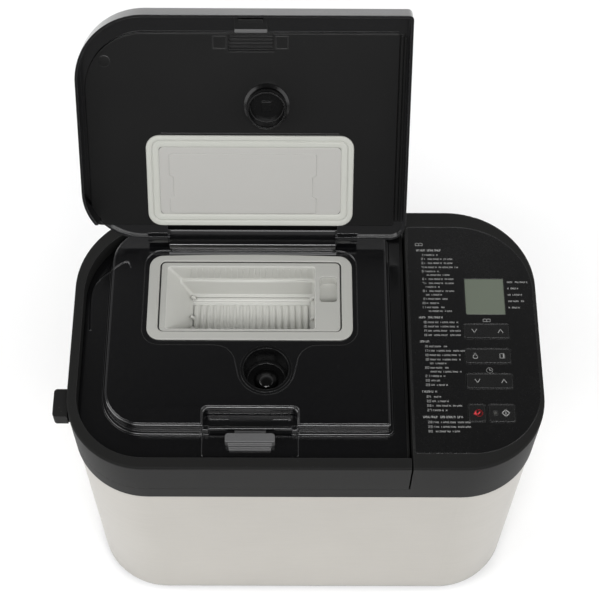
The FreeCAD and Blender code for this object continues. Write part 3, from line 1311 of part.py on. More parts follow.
def top_lid_shell():
    """Outer moulding: a flat face with a deep edge round the front and sides, and two hinge ears."""
    face_z = RIM_Z + TOP_RISE
    edge_z = RIM_Z - TOP_LIP_DROP
    shell = top_slab(0.0, edge_z, face_z)
    top = [e for e in shell.Edges if abs(e.BoundBox.ZMin - face_z) < 0.01]
    shell = shell.makeFillet(2.0, top)
    shell = shell.cut(top_slab(TOP_T, edge_z - 1.0, face_z - TOP_T))
    shell = shell.cut(box(-FAR, FAR, TOP_HINGE_Y - 21.0, FAR, 0.0, RIM_Z + LINER_DROP))
    ears = []
    for x0 in (BLOCK_X0 - EAR_GAP - EAR_W, BLOCK_X1 + EAR_GAP):
        x1 = x0 + EAR_W
        ears.append(rod_x(EAR_R, x0, x1, TOP_HINGE_Y, TOP_HINGE_Z))
        ears.append(box(x0, x1, TOP_HINGE_Y - 16.0, TOP_HINGE_Y, TOP_HINGE_Z - 3.0, TOP_HINGE_Z + EAR_R - 2.0))
    shell = join(shell, *ears)
    room = box(BLOCK_X0 - EAR_GAP, BLOCK_X1 + EAR_GAP, BLOCK_Y0 - 2.0, FAR, 0.0, FAR)
    shell = shell.cut(room)
    return shell.cut(rod_x(TOP_PIN_R + RUN_FIT, -FAR, FAR, TOP_HINGE_Y, TOP_HINGE_Z))


def top_lid_liner():
    """Inner panel clipped inside the edge."""
    z0 = RIM_Z + LINER_DROP
    z1 = RIM_Z + TOP_RISE - TOP_T
    panel = top_slab(TOP_T + FIT, z0, z1)
    panel = cut(
        panel,
        box(BLOCK_X0 - 4.0, BLOCK_X1 + 4.0, BLOCK_Y0 - 4.0, FAR, 0.0, FAR),
        box(-FAR, FAR, TOP_HINGE_Y - 14.0, FAR, 0.0, FAR),
        box(LATCH_X - 20.0, LATCH_X + 20.0, TOP_Y0 + 5.0, TOP_Y0 + 18.0, z0, z0 + 2.0),
    )
    return panel


def pad_frame():
    """Soft seal round the raisin pad: it closes on the light grey frame of the tray."""
    z0 = DECK_Z + TRAY_LIP_T + PAD_GAP
    z1 = RIM_Z + LINER_DROP
    ring = even_slab(TRAY_X0, TRAY_X1, TRAY_Y0, TRAY_Y1 - 1.5, TRAY_R, z0, z1)
    return ring.cut(even_slab(TRAY_X0 + 9.0, TRAY_X1 - 9.0, TRAY_Y0 + 8.0, TRAY_Y1 - 9.5, 6.0, z0, z1))


def pad_plate():
    z0 = DECK_Z + TRAY_LIP_T + PAD_GAP + 0.4
    z1 = RIM_Z + LINER_DROP
    return even_slab(TRAY_X0 + 9.0 + FIT, TRAY_X1 - 9.0 - FIT, TRAY_Y0 + 8.0 + FIT, TRAY_Y1 - 9.5 - FIT,
                     5.5, z0, z1)


def yeast_plug():
    """Hollow plug on the liner that shuts the yeast well."""
    z1 = RIM_Z + LINER_DROP
    z0 = z1 - PLUG_H
    plug = join(
        rod(PLUG_R, YEAST_X, YEAST_Y, z0, z1),
        rod(PLUG_R + 3.0, YEAST_X, YEAST_Y, z1 - 2.0, z1),
    )
    return plug.cut(rod(PLUG_R - 2.5, YEAST_X, YEAST_Y, z0, z1 - 2.0))


def lid_pull():
    """Finger tab on the front edge of the second lid, with the hook that meets the latch."""
    face_z = RIM_Z + TOP_RISE
    tab = box(PULL_X0, PULL_X1, TOP_Y0 - 7.0, TOP_Y0, RIM_Z + 0.8, face_z - 2.2)
    corners = [e for e in tab.Edges
               if e.BoundBox.ZLength > 1.0 and abs(e.BoundBox.YMin - (TOP_Y0 - 7.0)) < 0.01]
    return tab.makeFillet(3.0, corners)


def lid_hook():
    """Hook in the recess of the liner that the latch holds."""
    z1 = RIM_Z + LINER_DROP + 2.0
    y0 = TOP_Y0 + 6.0
    return box(LATCH_X - 10.0, LATCH_X + 10.0, y0, y0 + 3.0, RIM_Z - 7.5, z1)


# ---- export ------------------------------------------------------------------------------------------
FIXED = {
    "steel_case": steel_case,
    "base_tray": base_tray,
    "feet": feet,
    "chassis_plate": chassis_plate,
    "chassis_screws": chassis_screws,
    "cord_inlet": cord_inlet,
    "upper_housing": upper_housing,
    "control_overlay": control_overlay,
    "hinge_brackets": hinge_brackets,
    "oven_chamber": oven_chamber,
    "heater": heater,
    "heater_clips": heater_clips,
    "temp_sensor": temp_sensor,
    "pan_socket": pan_socket,
    "bearing_housing": bearing_housing,
    "drive_belt": drive_belt,
    "drive_shaft": drive_shaft,
    "drive_coupling": drive_coupling,
    "pan_coupling": pan_coupling,
    "pan_shaft": pan_shaft,
    "kneading_blade": kneading_blade,
    "motor": motor,
    "motor_shaft": motor_shaft,
    "bread_pan": bread_pan,
    "pan_foot": pan_foot,
    "pan_bush": pan_bush,
    "pan_handle": pan_handle,
    "power_board": power_board,
    "control_board": control_board,
    "lcd_module": lcd_module,
    "lcd_window": lcd_window,
    "start_lamp": start_lamp,
    "stop_key": stop_key,
    "start_key": start_key,
    "lid_rim": lid_rim,
    "lid_deck": lid_deck,
    "inner_lid": inner_lid,
    "lid_screws": lid_screws,
    "lid_gasket": lid_gasket,
    "hinge_block": hinge_block,
    "hinge_pins": hinge_pins,
    "dispenser_frame": dispenser_frame,
    "dispenser_tray": dispenser_tray,
    "dispenser_flap": dispenser_flap,
    "solenoids": solenoids,
    "yeast_cup": yeast_cup,
    "yeast_valve": yeast_valve,
    "latch_slider": latch_slider,
}
ON_SECOND_LID = {
    "top_lid_shell": top_lid_shell,
    "top_lid_liner": top_lid_liner,
    "pad_frame": pad_frame,
    "pad_plate": pad_plate,
    "yeast_plug": yeast_plug,
    "lid_pull": lid_pull,
    "lid_hook": lid_hook,
}

for node, make in FIXED.items():
    save(node, make())
for node, make in ON_SECOND_LID.items():
    save(node, opened(make()))
save("large_pulley", pulley(SHAFT_X, SHAFT_Y, LARGE_PULLEY_R, 10.0, SHAFT_R + RUN_FIT))
save("motor_pulley", pulley(MOTOR_X, MOTOR_Y, MOTOR_PULLEY_R, 7.0, MOTOR_SHAFT_R + RUN_FIT))
for name, key_y in zip(("menu_key", "size_crust_key", "timer_key"), KEY_Y):
    save(name, rocker_key(key_y))
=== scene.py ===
import math

import bmesh
import bpy
from mathutils import Matrix, Vector


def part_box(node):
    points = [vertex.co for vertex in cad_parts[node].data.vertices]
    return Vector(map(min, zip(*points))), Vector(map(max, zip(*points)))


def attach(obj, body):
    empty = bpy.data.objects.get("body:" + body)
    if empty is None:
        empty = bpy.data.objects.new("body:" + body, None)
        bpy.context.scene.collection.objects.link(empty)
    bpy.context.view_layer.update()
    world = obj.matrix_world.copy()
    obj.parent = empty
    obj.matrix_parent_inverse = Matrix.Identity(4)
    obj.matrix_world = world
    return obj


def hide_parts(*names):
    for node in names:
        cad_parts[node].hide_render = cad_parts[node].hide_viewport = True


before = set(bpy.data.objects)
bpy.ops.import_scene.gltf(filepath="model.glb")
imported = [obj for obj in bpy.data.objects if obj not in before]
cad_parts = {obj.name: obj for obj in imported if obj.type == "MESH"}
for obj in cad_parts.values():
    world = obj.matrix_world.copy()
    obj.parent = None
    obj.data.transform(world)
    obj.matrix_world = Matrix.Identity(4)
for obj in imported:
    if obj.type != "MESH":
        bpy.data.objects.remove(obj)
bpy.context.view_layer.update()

# ---- floor, backdrop light and camera ----------------------------------------------------------------
# The machine stands on a plain white sweep in a light tent. Soft boxes light it from both sides
# and from behind, and the top of the tent is darker, so the glossy lid stays black.
FLOOR_WHITE = (0.93, 0.93, 0.93, 1)
FLOOR_SIZE = 9.0
TENT_LEVELS = ((0.0, 0.55), (0.80, 0.34), (0.87, 0.09), (0.93, 0.03))
TENT_FRONT = 0.36

scene = bpy.context.scene
scene.view_settings.view_transform = "Standard"

floor_mesh = bpy.data.meshes.new("floor")
floor_mesh.from_pydata([(x * FLOOR_SIZE, y * FLOOR_SIZE, 0) for x,
                        y in ((-1, -1), (1, -1), (1, 1), (-1, 1))],
                       [], [(0, 1, 2, 3)])
floor = bpy.data.objects.new("floor", floor_mesh)
scene.collection.objects.link(floor)
floor_finish = bpy.data.materials.new("floor_white")
floor_finish.use_nodes = True
floor_shader = floor_finish.node_tree.nodes["Principled BSDF"]
floor_shader.inputs["Base Color"].default_value = FLOOR_WHITE
floor_shader.inputs["Roughness"].default_value = 0.9
floor_shader.inputs["Specular IOR Level"].default_value = 0.1
floor_mesh.materials.append(floor_finish)

world = bpy.data.worlds.new("tent")
scene.world = world
world.use_nodes = True
tent = world.node_tree
tent_light = tent.nodes["Background"]
tent_way = tent.nodes.new("ShaderNodeTexCoord")
tent_axes = tent.nodes.new("ShaderNodeSeparateXYZ")
tent_shade = tent.nodes.new("ShaderNodeValToRGB")
tent.links.new(tent_way.outputs["Generated"], tent_axes.inputs[0])
tent.links.new(tent_axes.outputs["Z"], tent_shade.inputs[0])
tent.links.new(tent_shade.outputs[0], tent_light.inputs["Color"])
tent_depth = tent.nodes.new("ShaderNodeMapRange")
tent_depth.inputs["From Min"].default_value = -0.9
tent_depth.inputs["From Max"].default_value = 0.3
tent_depth.inputs["To Min"].default_value = TENT_FRONT
tent.links.new(tent_axes.outputs["Y"], tent_depth.inputs["Value"])
tent.links.new(tent_depth.outputs[0], tent_light.inputs["Strength"])
tent_shade.color_ramp.interpolation = "EASE"
for stop, (place, level) in enumerate(TENT_LEVELS):
    if stop < 2:
        mark = tent_shade.color_ramp.elements[stop]
        mark.position = place
    else:
        mark = tent_shade.color_ramp.elements.new(place)
    mark.color = (level, level, level * 1.01, 1)

SOFT_BOXES = (  # name, place, size, watts
    ("box_left", (-1.9, -0.5, 1.5), (1.6, 2.2), 30.0),
    ("box_right", (1.9, -0.6, 1.5), (1.6, 2.2), 26.0),
    ("box_front", (0.1, -1.6, 2.5), (2.4, 0.7), 52.0),
    ("box_back", (-0.3, 2.1, 1.5), (3.0, 1.0), 26.0),
)
aim = Vector((0, 0, 0.2))
for box_name, box_place, box_size, watts in SOFT_BOXES:
    light = bpy.data.lights.new(box_name, "AREA")
    light.shape = "RECTANGLE"
    light.size, light.size_y = box_size
    light.energy = watts
    soft_box = bpy.data.objects.new(box_name, light)
    scene.collection.objects.link(soft_box)
    soft_box.location = box_place
    soft_box.rotation_euler = (aim - Vector(box_place)).to_track_quat("-Z", "Y").to_euler()

YAW, PITCH, ROLL = 0.01149597, 1.06372125, 0.01373865
look = Vector((math.sin(YAW) * math.cos(PITCH), math.cos(YAW) * math.cos(PITCH), -math.sin(PITCH)))
level_right = Vector((math.cos(YAW), -math.sin(YAW), 0))
level_up = level_right.cross(look)
lens_right = level_right * math.cos(ROLL) + level_up * math.sin(ROLL)
lens_up = level_up * math.cos(ROLL) - level_right * math.sin(ROLL)
camera_data = bpy.data.cameras.new("camera")
camera_data.lens = 91.33
camera_data.sensor_width = 36.0
camera = bpy.data.objects.new("camera", camera_data)
scene.collection.objects.link(camera)
camera.matrix_world = Matrix((lens_right, lens_up, -look)).transposed().to_4x4()
camera.location = (-0.0125, -0.6177, 1.4869)
scene.camera = camera

# ---- rubber feet -------------------------------------------------------------------------------------
# Four turned rubber feet with stems, pushed up into the base. The finish tools that every later section
# uses start here: effect groups for moulded grain, rounded edges lightened in colour as painted highlight and wear,
# and lint.


def new_effect(name, inputs, outputs):
    """Empty shader node group. Inputs are (name, default); outputs are (name, kind)."""
    group = bpy.data.node_groups.new(name, "ShaderNodeTree")
    for title, value in inputs:
        socket = group.interface.new_socket(name=title, in_out="INPUT", socket_type="NodeSocketFloat")
        socket.default_value = value
    for title, kind in outputs:
        group.interface.new_socket(name=title, in_out="OUTPUT", socket_type="NodeSocket" + kind)
    return group, group.nodes.new("NodeGroupInput"), group.nodes.new("NodeGroupOutput")


def wire(tree, source, target):
    tree.links.new(source, target)


def sum_node(tree, kind, first, second):
    """Math node of that kind. Each side is a socket or a number."""
    node = tree.nodes.new("ShaderNodeMath")
    node.operation = kind
    for index, value in enumerate((first, second)):
        if isinstance(value, (int, float)):
            node.inputs[index].default_value = value
        else:
            wire(tree, value, node.inputs[index])
    return node.outputs[0]


def noise_node(tree, place, scale, detail):
    node = tree.nodes.new("ShaderNodeTexNoise")
    node.inputs["Detail"].default_value = detail
    wire(tree, place, node.inputs["Vector"])
    if isinstance(scale, (int, float)):
        node.inputs["Scale"].default_value = scale
    else:
        wire(tree, scale, node.inputs["Scale"])
    return node.outputs["Fac"]


# Fine spark-eroded texture of a moulded or cast surface, with slow cloudy unevenness.
mould_grain, made_in, made_out = new_effect("mould_grain", [("Scale", 900.0)],
                                            [("Height", "Float"), ("Cloud", "Float")])
made_place = mould_grain.nodes.new("ShaderNodeTexCoord").outputs["Object"]
wire(mould_grain, noise_node(mould_grain, made_place, made_in.outputs["Scale"], 3.0),
     made_out.inputs["Height"])
wire(mould_grain, noise_node(mould_grain, made_place, 14.0, 4.0), made_out.inputs["Cloud"])

# Softened corner: a normal that rolls over the edge, and a mask that is white along it.
soft_edge, made_in, made_out = new_effect("soft_edge", [], [("Normal", "Vector"), ("Edge", "Float")])
made_bevel = soft_edge.nodes.new("ShaderNodeBevel")
made_bevel.samples = 6
made_bevel.inputs["Radius"].default_value = 0.0007
made_flat = soft_edge.nodes.new("ShaderNodeNewGeometry").outputs["Normal"]
made_dot = soft_edge.nodes.new("ShaderNodeVectorMath")
made_dot.operation = "DOT_PRODUCT"
wire(soft_edge, made_bevel.outputs[0], made_dot.inputs[0])
wire(soft_edge, made_flat, made_dot.inputs[1])
made_edge = sum_node(soft_edge, "SUBTRACT", 1.0, made_dot.outputs["Value"])
made_edge = sum_node(soft_edge, "MULTIPLY", made_edge, 3.0)
made_edge = sum_node(soft_edge, "MINIMUM", made_edge, 1.0)
wire(soft_edge, made_bevel.outputs[0], made_out.inputs["Normal"])
wire(soft_edge, made_edge, made_out.inputs["Edge"])

# Lint and finger grease: sparse specks and wide smears, both as masks.
handled, made_in, made_out = new_effect("handled", [], [("Specks", "Float"), ("Smear", "Float")])
made_place = handled.nodes.new("ShaderNodeTexCoord").outputs["Object"]
made_specks = noise_node(handled, made_place, 520.0, 2.0)
made_specks = sum_node(handled, "SUBTRACT", made_specks, 0.74)
made_specks = sum_node(handled, "MULTIPLY", made_specks, 14.0)
made_specks = sum_node(handled, "MAXIMUM", made_specks, 0.0)
wire(handled, sum_node(handled, "MINIMUM", made_specks, 1.0), made_out.inputs["Specks"])
made_smear = noise_node(handled, made_place, 24.0, 5.0)
wire(handled, sum_node(handled, "POWER", made_smear, 2.0), made_out.inputs["Smear"])


def blend_node(tree, share, first, second):
    """Colour mix. Each side is a colour or a socket, and share is a socket or a number."""
    node = tree.nodes.new("ShaderNodeMix")
    node.data_type = "RGBA"
    sides = (("Factor", share), ("A", first), ("B", second))
    for title, value in sides:
        socket = [s for s in node.inputs if s.name == title and s.enabled][0]
        if isinstance(value, (int, float, tuple)):
            socket.default_value = value
        else:
            wire(tree, value, socket)
    return [s for s in node.outputs if s.enabled][0]


def finish(name, colour, rough, metal=0.0, edge_wear_highlight=None, edge_wear_highlight_share=0.5, grain=900.0, bump=0.06, cloud=0.12,
           lint=0.0,
           smear=0.0, coat=0.0, specular=0.5):
    """Procedural finish: base colour with cloudy tone, edges lightened as painted highlight and wear, lint, and
    moulded or cast grain.
    """
    material = bpy.data.materials.new(name)
    material.use_nodes = True
    tree = material.node_tree
    shader = tree.nodes["Principled BSDF"]
    effects = {}
    for effect in (mould_grain, soft_edge, handled):
        node = tree.nodes.new("ShaderNodeGroup")
        node.node_tree = effect
        effects[effect.name] = node
    grains = effects["mould_grain"]
    grains.inputs["Scale"].default_value = grain
    edges = effects["soft_edge"]
    touched = effects["handled"]
    dark = tuple(c * (1 - cloud) for c in colour) + (1.0,)
    light = tuple(min(c * (1 + cloud), 1.0) for c in colour) + (1.0,)
    tone = blend_node(tree, grains.outputs["Cloud"], dark, light)
    # Edges are lightened towards this colour: partly real wear, partly a painted highlight along every rounded edge.
    edge_wear_highlight_tone = tuple(edge_wear_highlight) + (1.0,) if edge_wear_highlight else tuple(min(c * 1.5 + 0.01, 1.0) for c in colour) + (1.0,)
    share = sum_node(tree, "MULTIPLY", edges.outputs["Edge"], edge_wear_highlight_share)
    tone = blend_node(tree, share, tone, edge_wear_highlight_tone)
    if lint:
        tone = blend_node(tree, sum_node(tree, "MULTIPLY", touched.outputs["Specks"], lint), tone,
                          (0.4, 0.4, 0.39, 1))
    wire(tree, tone, shader.inputs["Base Color"])
    uneven = sum_node(tree, "MULTIPLY", grains.outputs["Height"], 0.10)
    uneven = sum_node(tree, "ADD", uneven, rough - 0.05)
    if smear:
        uneven = sum_node(tree, "ADD", uneven, sum_node(tree, "MULTIPLY", touched.outputs["Smear"], smear))
    wire(tree, uneven, shader.inputs["Roughness"])
    dimple = tree.nodes.new("ShaderNodeBump")
    dimple.inputs["Strength"].default_value = bump
    dimple.inputs["Distance"].default_value = 0.0004
    wire(tree, grains.outputs["Height"], dimple.inputs["Height"])
    wire(tree, edges.outputs["Normal"], dimple.inputs["Normal"])
    wire(tree, dimple.outputs[0], shader.inputs["Normal"])
    shader.inputs["Metallic"].default_value = metal
    shader.inputs["Coat Weight"].default_value = coat
    shader.inputs["Coat Roughness"].default_value = 0.06
    shader.inputs["Specular IOR Level"].default_value = specular
    return material


def dress(material, *nodes):
    """Gives that finish to CAD nodes that keep their shape."""
    for node in nodes:
        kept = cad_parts[node]
        if not kept.material_slots:
            kept.data.materials.append(material)
        for slot in kept.material_slots:
            slot.material = material


foot_rubber = finish("foot_rubber", (0.012, 0.012, 0.013), 0.72, grain=1500.0, bump=0.12, lint=0.5)
dress(foot_rubber, "feet")

# ---- base tray and cord inlet ------------------------------------------------------------------------
# Injection-moulded black floor under the steel case, with a shadow gap below the sheet, and the flanged
# bush where a mains lead plugs through the back.
base_black = finish("base_black", (0.016, 0.016, 0.017), 0.46, edge_wear_highlight=(0.06, 0.06, 0.06), grain=1100.0,
                    bump=0.10)
dress(base_black, "base_tray", "cord_inlet", "hinge_brackets")

# ---- steel case --------------------------------------------------------------------------------------
# One sheet of stainless steel, wrapped round the body and brushed along its length, so the scratches run
# level all the way round. It has a warm tone.
brushed, made_in, made_out = new_effect("brushed", [("Fineness", 2600.0)],
                                        [("Height", "Float"), ("Streak", "Float")])
made_place = brushed.nodes.new("ShaderNodeTexCoord").outputs["Object"]
made_stretch = brushed.nodes.new("ShaderNodeVectorMath")
made_stretch.operation = "MULTIPLY"
made_stretch.inputs[1].default_value = (0.012, 0.012, 1.0)
wire(brushed, made_place, made_stretch.inputs[0])
wire(brushed, noise_node(brushed, made_stretch.outputs[0], made_in.outputs["Fineness"], 4.0),
     made_out.inputs["Height"])
made_streak = noise_node(brushed, made_stretch.outputs[0], 420.0, 3.0)
wire(brushed, made_streak, made_out.inputs["Streak"])


def brushed_steel(name, dark, light, rough, bump):
    """Brushed metal: level scratches in colour, roughness and height, and cloudy sheet tone."""
    material = bpy.data.materials.new(name)
    material.use_nodes = True
    tree = material.node_tree
    shader = tree.nodes["Principled BSDF"]
    lines = tree.nodes.new("ShaderNodeGroup")
    lines.node_tree = brushed
    clouds = tree.nodes.new("ShaderNodeGroup")
    clouds.node_tree = mould_grain
    edges = tree.nodes.new("ShaderNodeGroup")
    edges.node_tree = soft_edge
    mixed = sum_node(tree, "MULTIPLY", lines.outputs["Height"], 0.55)
    mixed = sum_node(tree, "ADD", mixed, sum_node(tree, "MULTIPLY", lines.outputs["Streak"], 0.25))
    mixed = sum_node(tree, "ADD", mixed, sum_node(tree, "MULTIPLY", clouds.outputs["Cloud"], 0.20))
    wire(tree, blend_node(tree, mixed, dark, light), shader.inputs["Base Color"])
    uneven = sum_node(tree, "MULTIPLY", lines.outputs["Streak"], 0.16)
    wire(tree, sum_node(tree, "ADD", uneven, rough - 0.08), shader.inputs["Roughness"])
    scratch = tree.nodes.new("ShaderNodeBump")
    scratch.inputs["Strength"].default_value = bump
    scratch.inputs["Distance"].default_value = 0.0002
    wire(tree, lines.outputs["Height"], scratch.inputs["Height"])
    wire(tree, edges.outputs["Normal"], scratch.inputs["Normal"])
    wire(tree, scratch.outputs[0], shader.inputs["Normal"])
    shader.inputs["Metallic"].default_value = 1.0
    return material


steel = brushed_steel("steel", (0.385, 0.368, 0.338, 1), (0.545, 0.526, 0.488, 1), 0.34, 0.10)
dress(steel, "steel_case")

# ---- upper housing and lid rim -----------------------------------------------------------------------
# Charcoal mouldings with a fine satin texture: the ring that clamps the top of the case, the control
# housing, and the frame of the main lid with its side tab.
rim_plastic = finish("rim_plastic", (0.0125, 0.0125, 0.0122), 0.46, edge_wear_highlight=(0.10, 0.10, 0.10), edge_wear_highlight_share=0.5,
                     grain=1300.0,
                     bump=0.08, cloud=0.06, lint=0.12, specular=0.05)
dress(rim_plastic, "upper_housing", "lid_rim")

# ---- inside of the machine ---------------------------------------------------------------------------
# Baking chamber, pan, drive and electronics. Bare pressed sheet, dark non-stick, a sheathed heater, cast
# seats and folded brackets, all as they leave the press shop.
chamber_steel = brushed_steel("chamber_steel", (0.50, 0.50, 0.49, 1), (0.72, 0.72, 0.70, 1), 0.42, 0.12)
dress(chamber_steel, "oven_chamber", "inner_lid", "heater_clips")
sheet_steel = brushed_steel("sheet_steel", (0.42, 0.43, 0.44, 1), (0.60, 0.61, 0.62, 1), 0.46, 0.12)
dress(sheet_steel, "chassis_plate")
bright_steel = brushed_steel("bright_steel", (0.62, 0.62, 0.62, 1), (0.80, 0.80, 0.80, 1), 0.24, 0.05)
dress(bright_steel, "chassis_screws", "lid_screws", "pan_shaft", "drive_shaft", "motor_shaft",
      "pan_handle", "temp_sensor")
burnished = finish("burnished", (0.035, 0.035, 0.037), 0.35, metal=1.0, grain=1000.0, bump=0.1)
dress(burnished, "hinge_pins")
nonstick = finish("nonstick", (0.030, 0.030, 0.031), 0.40, edge_wear_highlight=(0.32, 0.31, 0.30), edge_wear_highlight_share=0.35, grain=1900.0,
                  bump=0.16, lint=0.35)
dress(nonstick, "bread_pan", "kneading_blade")
cast_alloy = finish("cast_alloy", (0.36, 0.36, 0.355), 0.48, metal=1.0, edge_wear_highlight=(0.6, 0.6, 0.59),
                    grain=1200.0, bump=0.3)
dress(cast_alloy, "pan_socket", "bearing_housing", "pan_foot", "drive_coupling", "pan_coupling")
heater_sheath = finish("heater_sheath", (0.075, 0.070, 0.066), 0.44, metal=0.7, grain=800.0, bump=0.15,
                       cloud=0.4)
dress(heater_sheath, "heater")
bush_bronze = finish("bush_bronze", (0.42, 0.27, 0.12), 0.36, metal=1.0, grain=1400.0, bump=0.08)
dress(bush_bronze, "pan_bush")
belt_rubber = finish("belt_rubber", (0.014, 0.014, 0.014), 0.62, grain=1700.0, bump=0.2, lint=0.3)
dress(belt_rubber, "drive_belt")
nylon_white = finish("nylon_white", (0.62, 0.61, 0.56), 0.42, grain=900.0, bump=0.05)
dress(nylon_white, "large_pulley", "motor_pulley")
gasket_silicone = finish("gasket_silicone", (0.30, 0.30, 0.29), 0.56, grain=700.0, bump=0.05)
dress(gasket_silicone, "lid_gasket")
motor_steel = finish("motor_steel", (0.34, 0.35, 0.36), 0.36, metal=1.0, grain=1000.0, bump=0.1)
dress(motor_steel, "motor", "solenoids")
board_green = finish("board_green", (0.020, 0.105, 0.045), 0.34, edge_wear_highlight=(0.25, 0.3, 0.2), grain=600.0,
                     bump=0.1)
dress(board_green, "power_board", "control_board")

# ---- deck of the main lid ----------------------------------------------------------------------------
# Glossy black moulding inside the rim: a channel floor, a raised deck with a rolled edge and a step at
# its foot, a skin with a keyhole-shaped well round the dispensers, and the pocket of the latch.
MM = 0.001
ARC_STEPS = 10


def rounded(x0, x1, y0, y1, radii, steps=ARC_STEPS):
    """Anticlockwise outline in millimetres. Radii run front left, front right, rear right, rear left."""
    outline = []
    corners = ((x0, y0, 1, 1, 180), (x1, y0, -1, 1, 270), (x1, y1, -1, -1, 0), (x0, y1, 1, -1, 90))
    for r, (x, y, to_x, to_y, start) in zip(radii, corners):
        r = max(r, 0.01)
        for step in range(steps + 1):
            angle = math.radians(start + 90.0 * step / steps)
            outline.append((x + to_x * r + r * math.cos(angle), y + to_y * r + r * math.sin(angle)))
    return outline


def circle(x, y, r, steps=64):
    return [(x + r * math.cos(math.tau * n / steps),
             y + r * math.sin(math.tau * n / steps)) for n in range(steps)]


def plate(loops, z0, z1, edge=0.4, steps=2):
    """Solid plate between two heights, with rolled edges. The first loop is its outline, the rest are holes."""
    drawn = bpy.data.curves.new("plate", "CURVE")
    drawn.dimensions = "2D"
    drawn.fill_mode = "BOTH"
    drawn.extrude = ((z1 - z0) / 2 - edge) * MM
    drawn.bevel_depth = edge * MM
    drawn.bevel_resolution = steps
    drawn.offset = -edge * MM
    for loop in loops:
        spline = drawn.splines.new("POLY")
        spline.points.add(len(loop) - 1)
        for point, (x, y) in zip(spline.points, loop):
            point.co = (x * MM, y * MM, 0, 1)
        spline.use_cyclic_u = True
    holder = bpy.data.objects.new("plate", drawn)
    scene.collection.objects.link(holder)
    solid = bpy.data.meshes.new_from_object(holder.evaluated_get(bpy.context.evaluated_depsgraph_get()))
    bpy.data.objects.remove(holder)
    solid.transform(Matrix.Translation((0, 0, (z0 + z1) / 2 * MM)))
    return solid


def loft(rings, closed=False):
    """Skin through rings of equal length. Closed joins the last ring to the first; otherwise both are capped."""
    work = bmesh.new()
    rows = [[work.verts.new((x * MM, y * MM, z * MM)) for x, y, z in ring] for ring in rings]
    count = len(rows[0])
    pairs = list(zip(rows, rows[1:] + rows[:1])) if closed else list(zip(rows, rows[1:]))
    for low, high in pairs:
        for n in range(count):
            m = (n + 1) % count
            work.faces.new((low[n], low[m], high[m], high[n]))
    if not closed:
        work.faces.new(rows[0][::-1])
        work.faces.new(rows[-1])
    solid = bpy.data.meshes.new("loft")
    work.to_mesh(solid)
    work.free()
    return solid


def at_height(outline, z):
    return [(x, y, z) for x, y in outline]


def turned(profile, x, y, steps=72):
    """Solid of revolution on an upright axis. Profile points are (radius, height), up the axis and back."""
    work = bmesh.new()
    rows = []
    for r, z in profile:
        if r < 1e-6:
            rows.append([work.verts.new((x * MM, y * MM, z * MM))])
        else:
            rows.append([work.verts.new((px * MM, py * MM, z * MM)) for px, py in circle(x, y, r, steps)])
    ends = profile[0][0] < 1e-6 and profile[-1][0] < 1e-6
    pairs = list(zip(rows, rows[1:])) if ends else list(zip(rows, rows[1:] + rows[:1]))
    for low, high in pairs:
        for n in range(steps):
            m = (n + 1) % steps
            face = [low[n % len(low)], low[m % len(low)], high[m % len(high)], high[n % len(high)]]
            work.faces.new(list(dict.fromkeys(face)))
    solid = bpy.data.meshes.new("turned")
    work.to_mesh(solid)
    work.free()
    return solid


def wire_rod(points, r, taper=None):
    """Round rod along a smooth line through millimetre points."""
    line = bpy.data.curves.new("rod", "CURVE")
    line.dimensions = "3D"
    line.bevel_depth = r * MM
    line.bevel_resolution = 3
    line.use_fill_caps = True
    line.resolution_u = 8
    spline = line.splines.new("NURBS")
    spline.points.add(len(points) - 1)
    for number, (point, place) in enumerate(zip(spline.points, points)):
        point.co = (place[0] * MM, place[1] * MM, place[2] * MM, 1)
        point.radius = taper[number] if taper else 1.0
    spline.order_u = 3
    spline.use_endpoint_u = True
    holder = bpy.data.objects.new("rod", line)
    scene.collection.objects.link(holder)
    solid = bpy.data.meshes.new_from_object(holder.evaluated_get(bpy.context.evaluated_depsgraph_get()))
    bpy.data.objects.remove(holder)
    return solid


def merged(*solids):
    work = bmesh.new()
    for solid in solids:
        work.from_mesh(solid)
    joined = bpy.data.meshes.new("joined")
    work.to_mesh(joined)
    work.free()
    return joined


def piece(name, solid, material, body, slot, *stands_for, turn=None):
    """Cleans the mesh, makes the object with smooth faces and crisp edges, and ties it to its body."""
    work = bmesh.new()
    work.from_mesh(solid)
    bmesh.ops.remove_doubles(work, verts=work.verts, dist=1e-6)
    bmesh.ops.recalc_face_normals(work, faces=work.faces)
    if turn:
        work.transform(turn)
    mesh = bpy.data.meshes.new(name)
    work.to_mesh(mesh)
    work.free()
    mesh.materials.append(material)
    mesh.polygons.foreach_set("use_smooth", [True] * len(mesh.polygons))
    mesh.set_sharp_from_angle(angle=math.radians(38))
    made = bpy.data.objects.new(name, mesh)
    scene.collection.objects.link(made)
    even = made.modifiers.new("even_normals", "WEIGHTED_NORMAL")
    even.keep_sharp = True
    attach(made, body)
    if stands_for:
        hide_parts(*stands_for)
    return made


def span(node):
    """Lowest and highest corner of a CAD node, in millimetres."""
    low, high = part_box(node)
    return low / MM, high / MM


deck_low, deck_high = span("lid_deck")
frame_low, frame_high = span("dispenser_frame")
cup_low, cup_high = span("yeast_cup")
latch_low, latch_high = span("latch_slider")
rim_top = span("lid_rim")[1].z
DECK = deck_high.z
CHANNEL = rim_top - 16.5
SKIN = 1.2
WELL_X = (cup_low.x + cup_high.x) / 2
WELL_Y = (cup_low.y + cup_high.y) / 2
MESA = (-173.0, 72.7, -86.0, 110.4)
MESA_R = (34.0, 3.0, 8.0, 34.0)
POCKET_HALF = 40.0
POCKET_BACK = -69.3
latch_x = (latch_low.x + latch_high.x) / 2

gloss_black = finish("gloss_black", (0.0018, 0.0018, 0.0021), 0.15, edge_wear_highlight=(0.05, 0.05, 0.055), edge_wear_highlight_share=0.5,
                     grain=300.0,
                     bump=0.01, cloud=0.25, lint=0.04, smear=0.04, coat=0.2, specular=0.9)

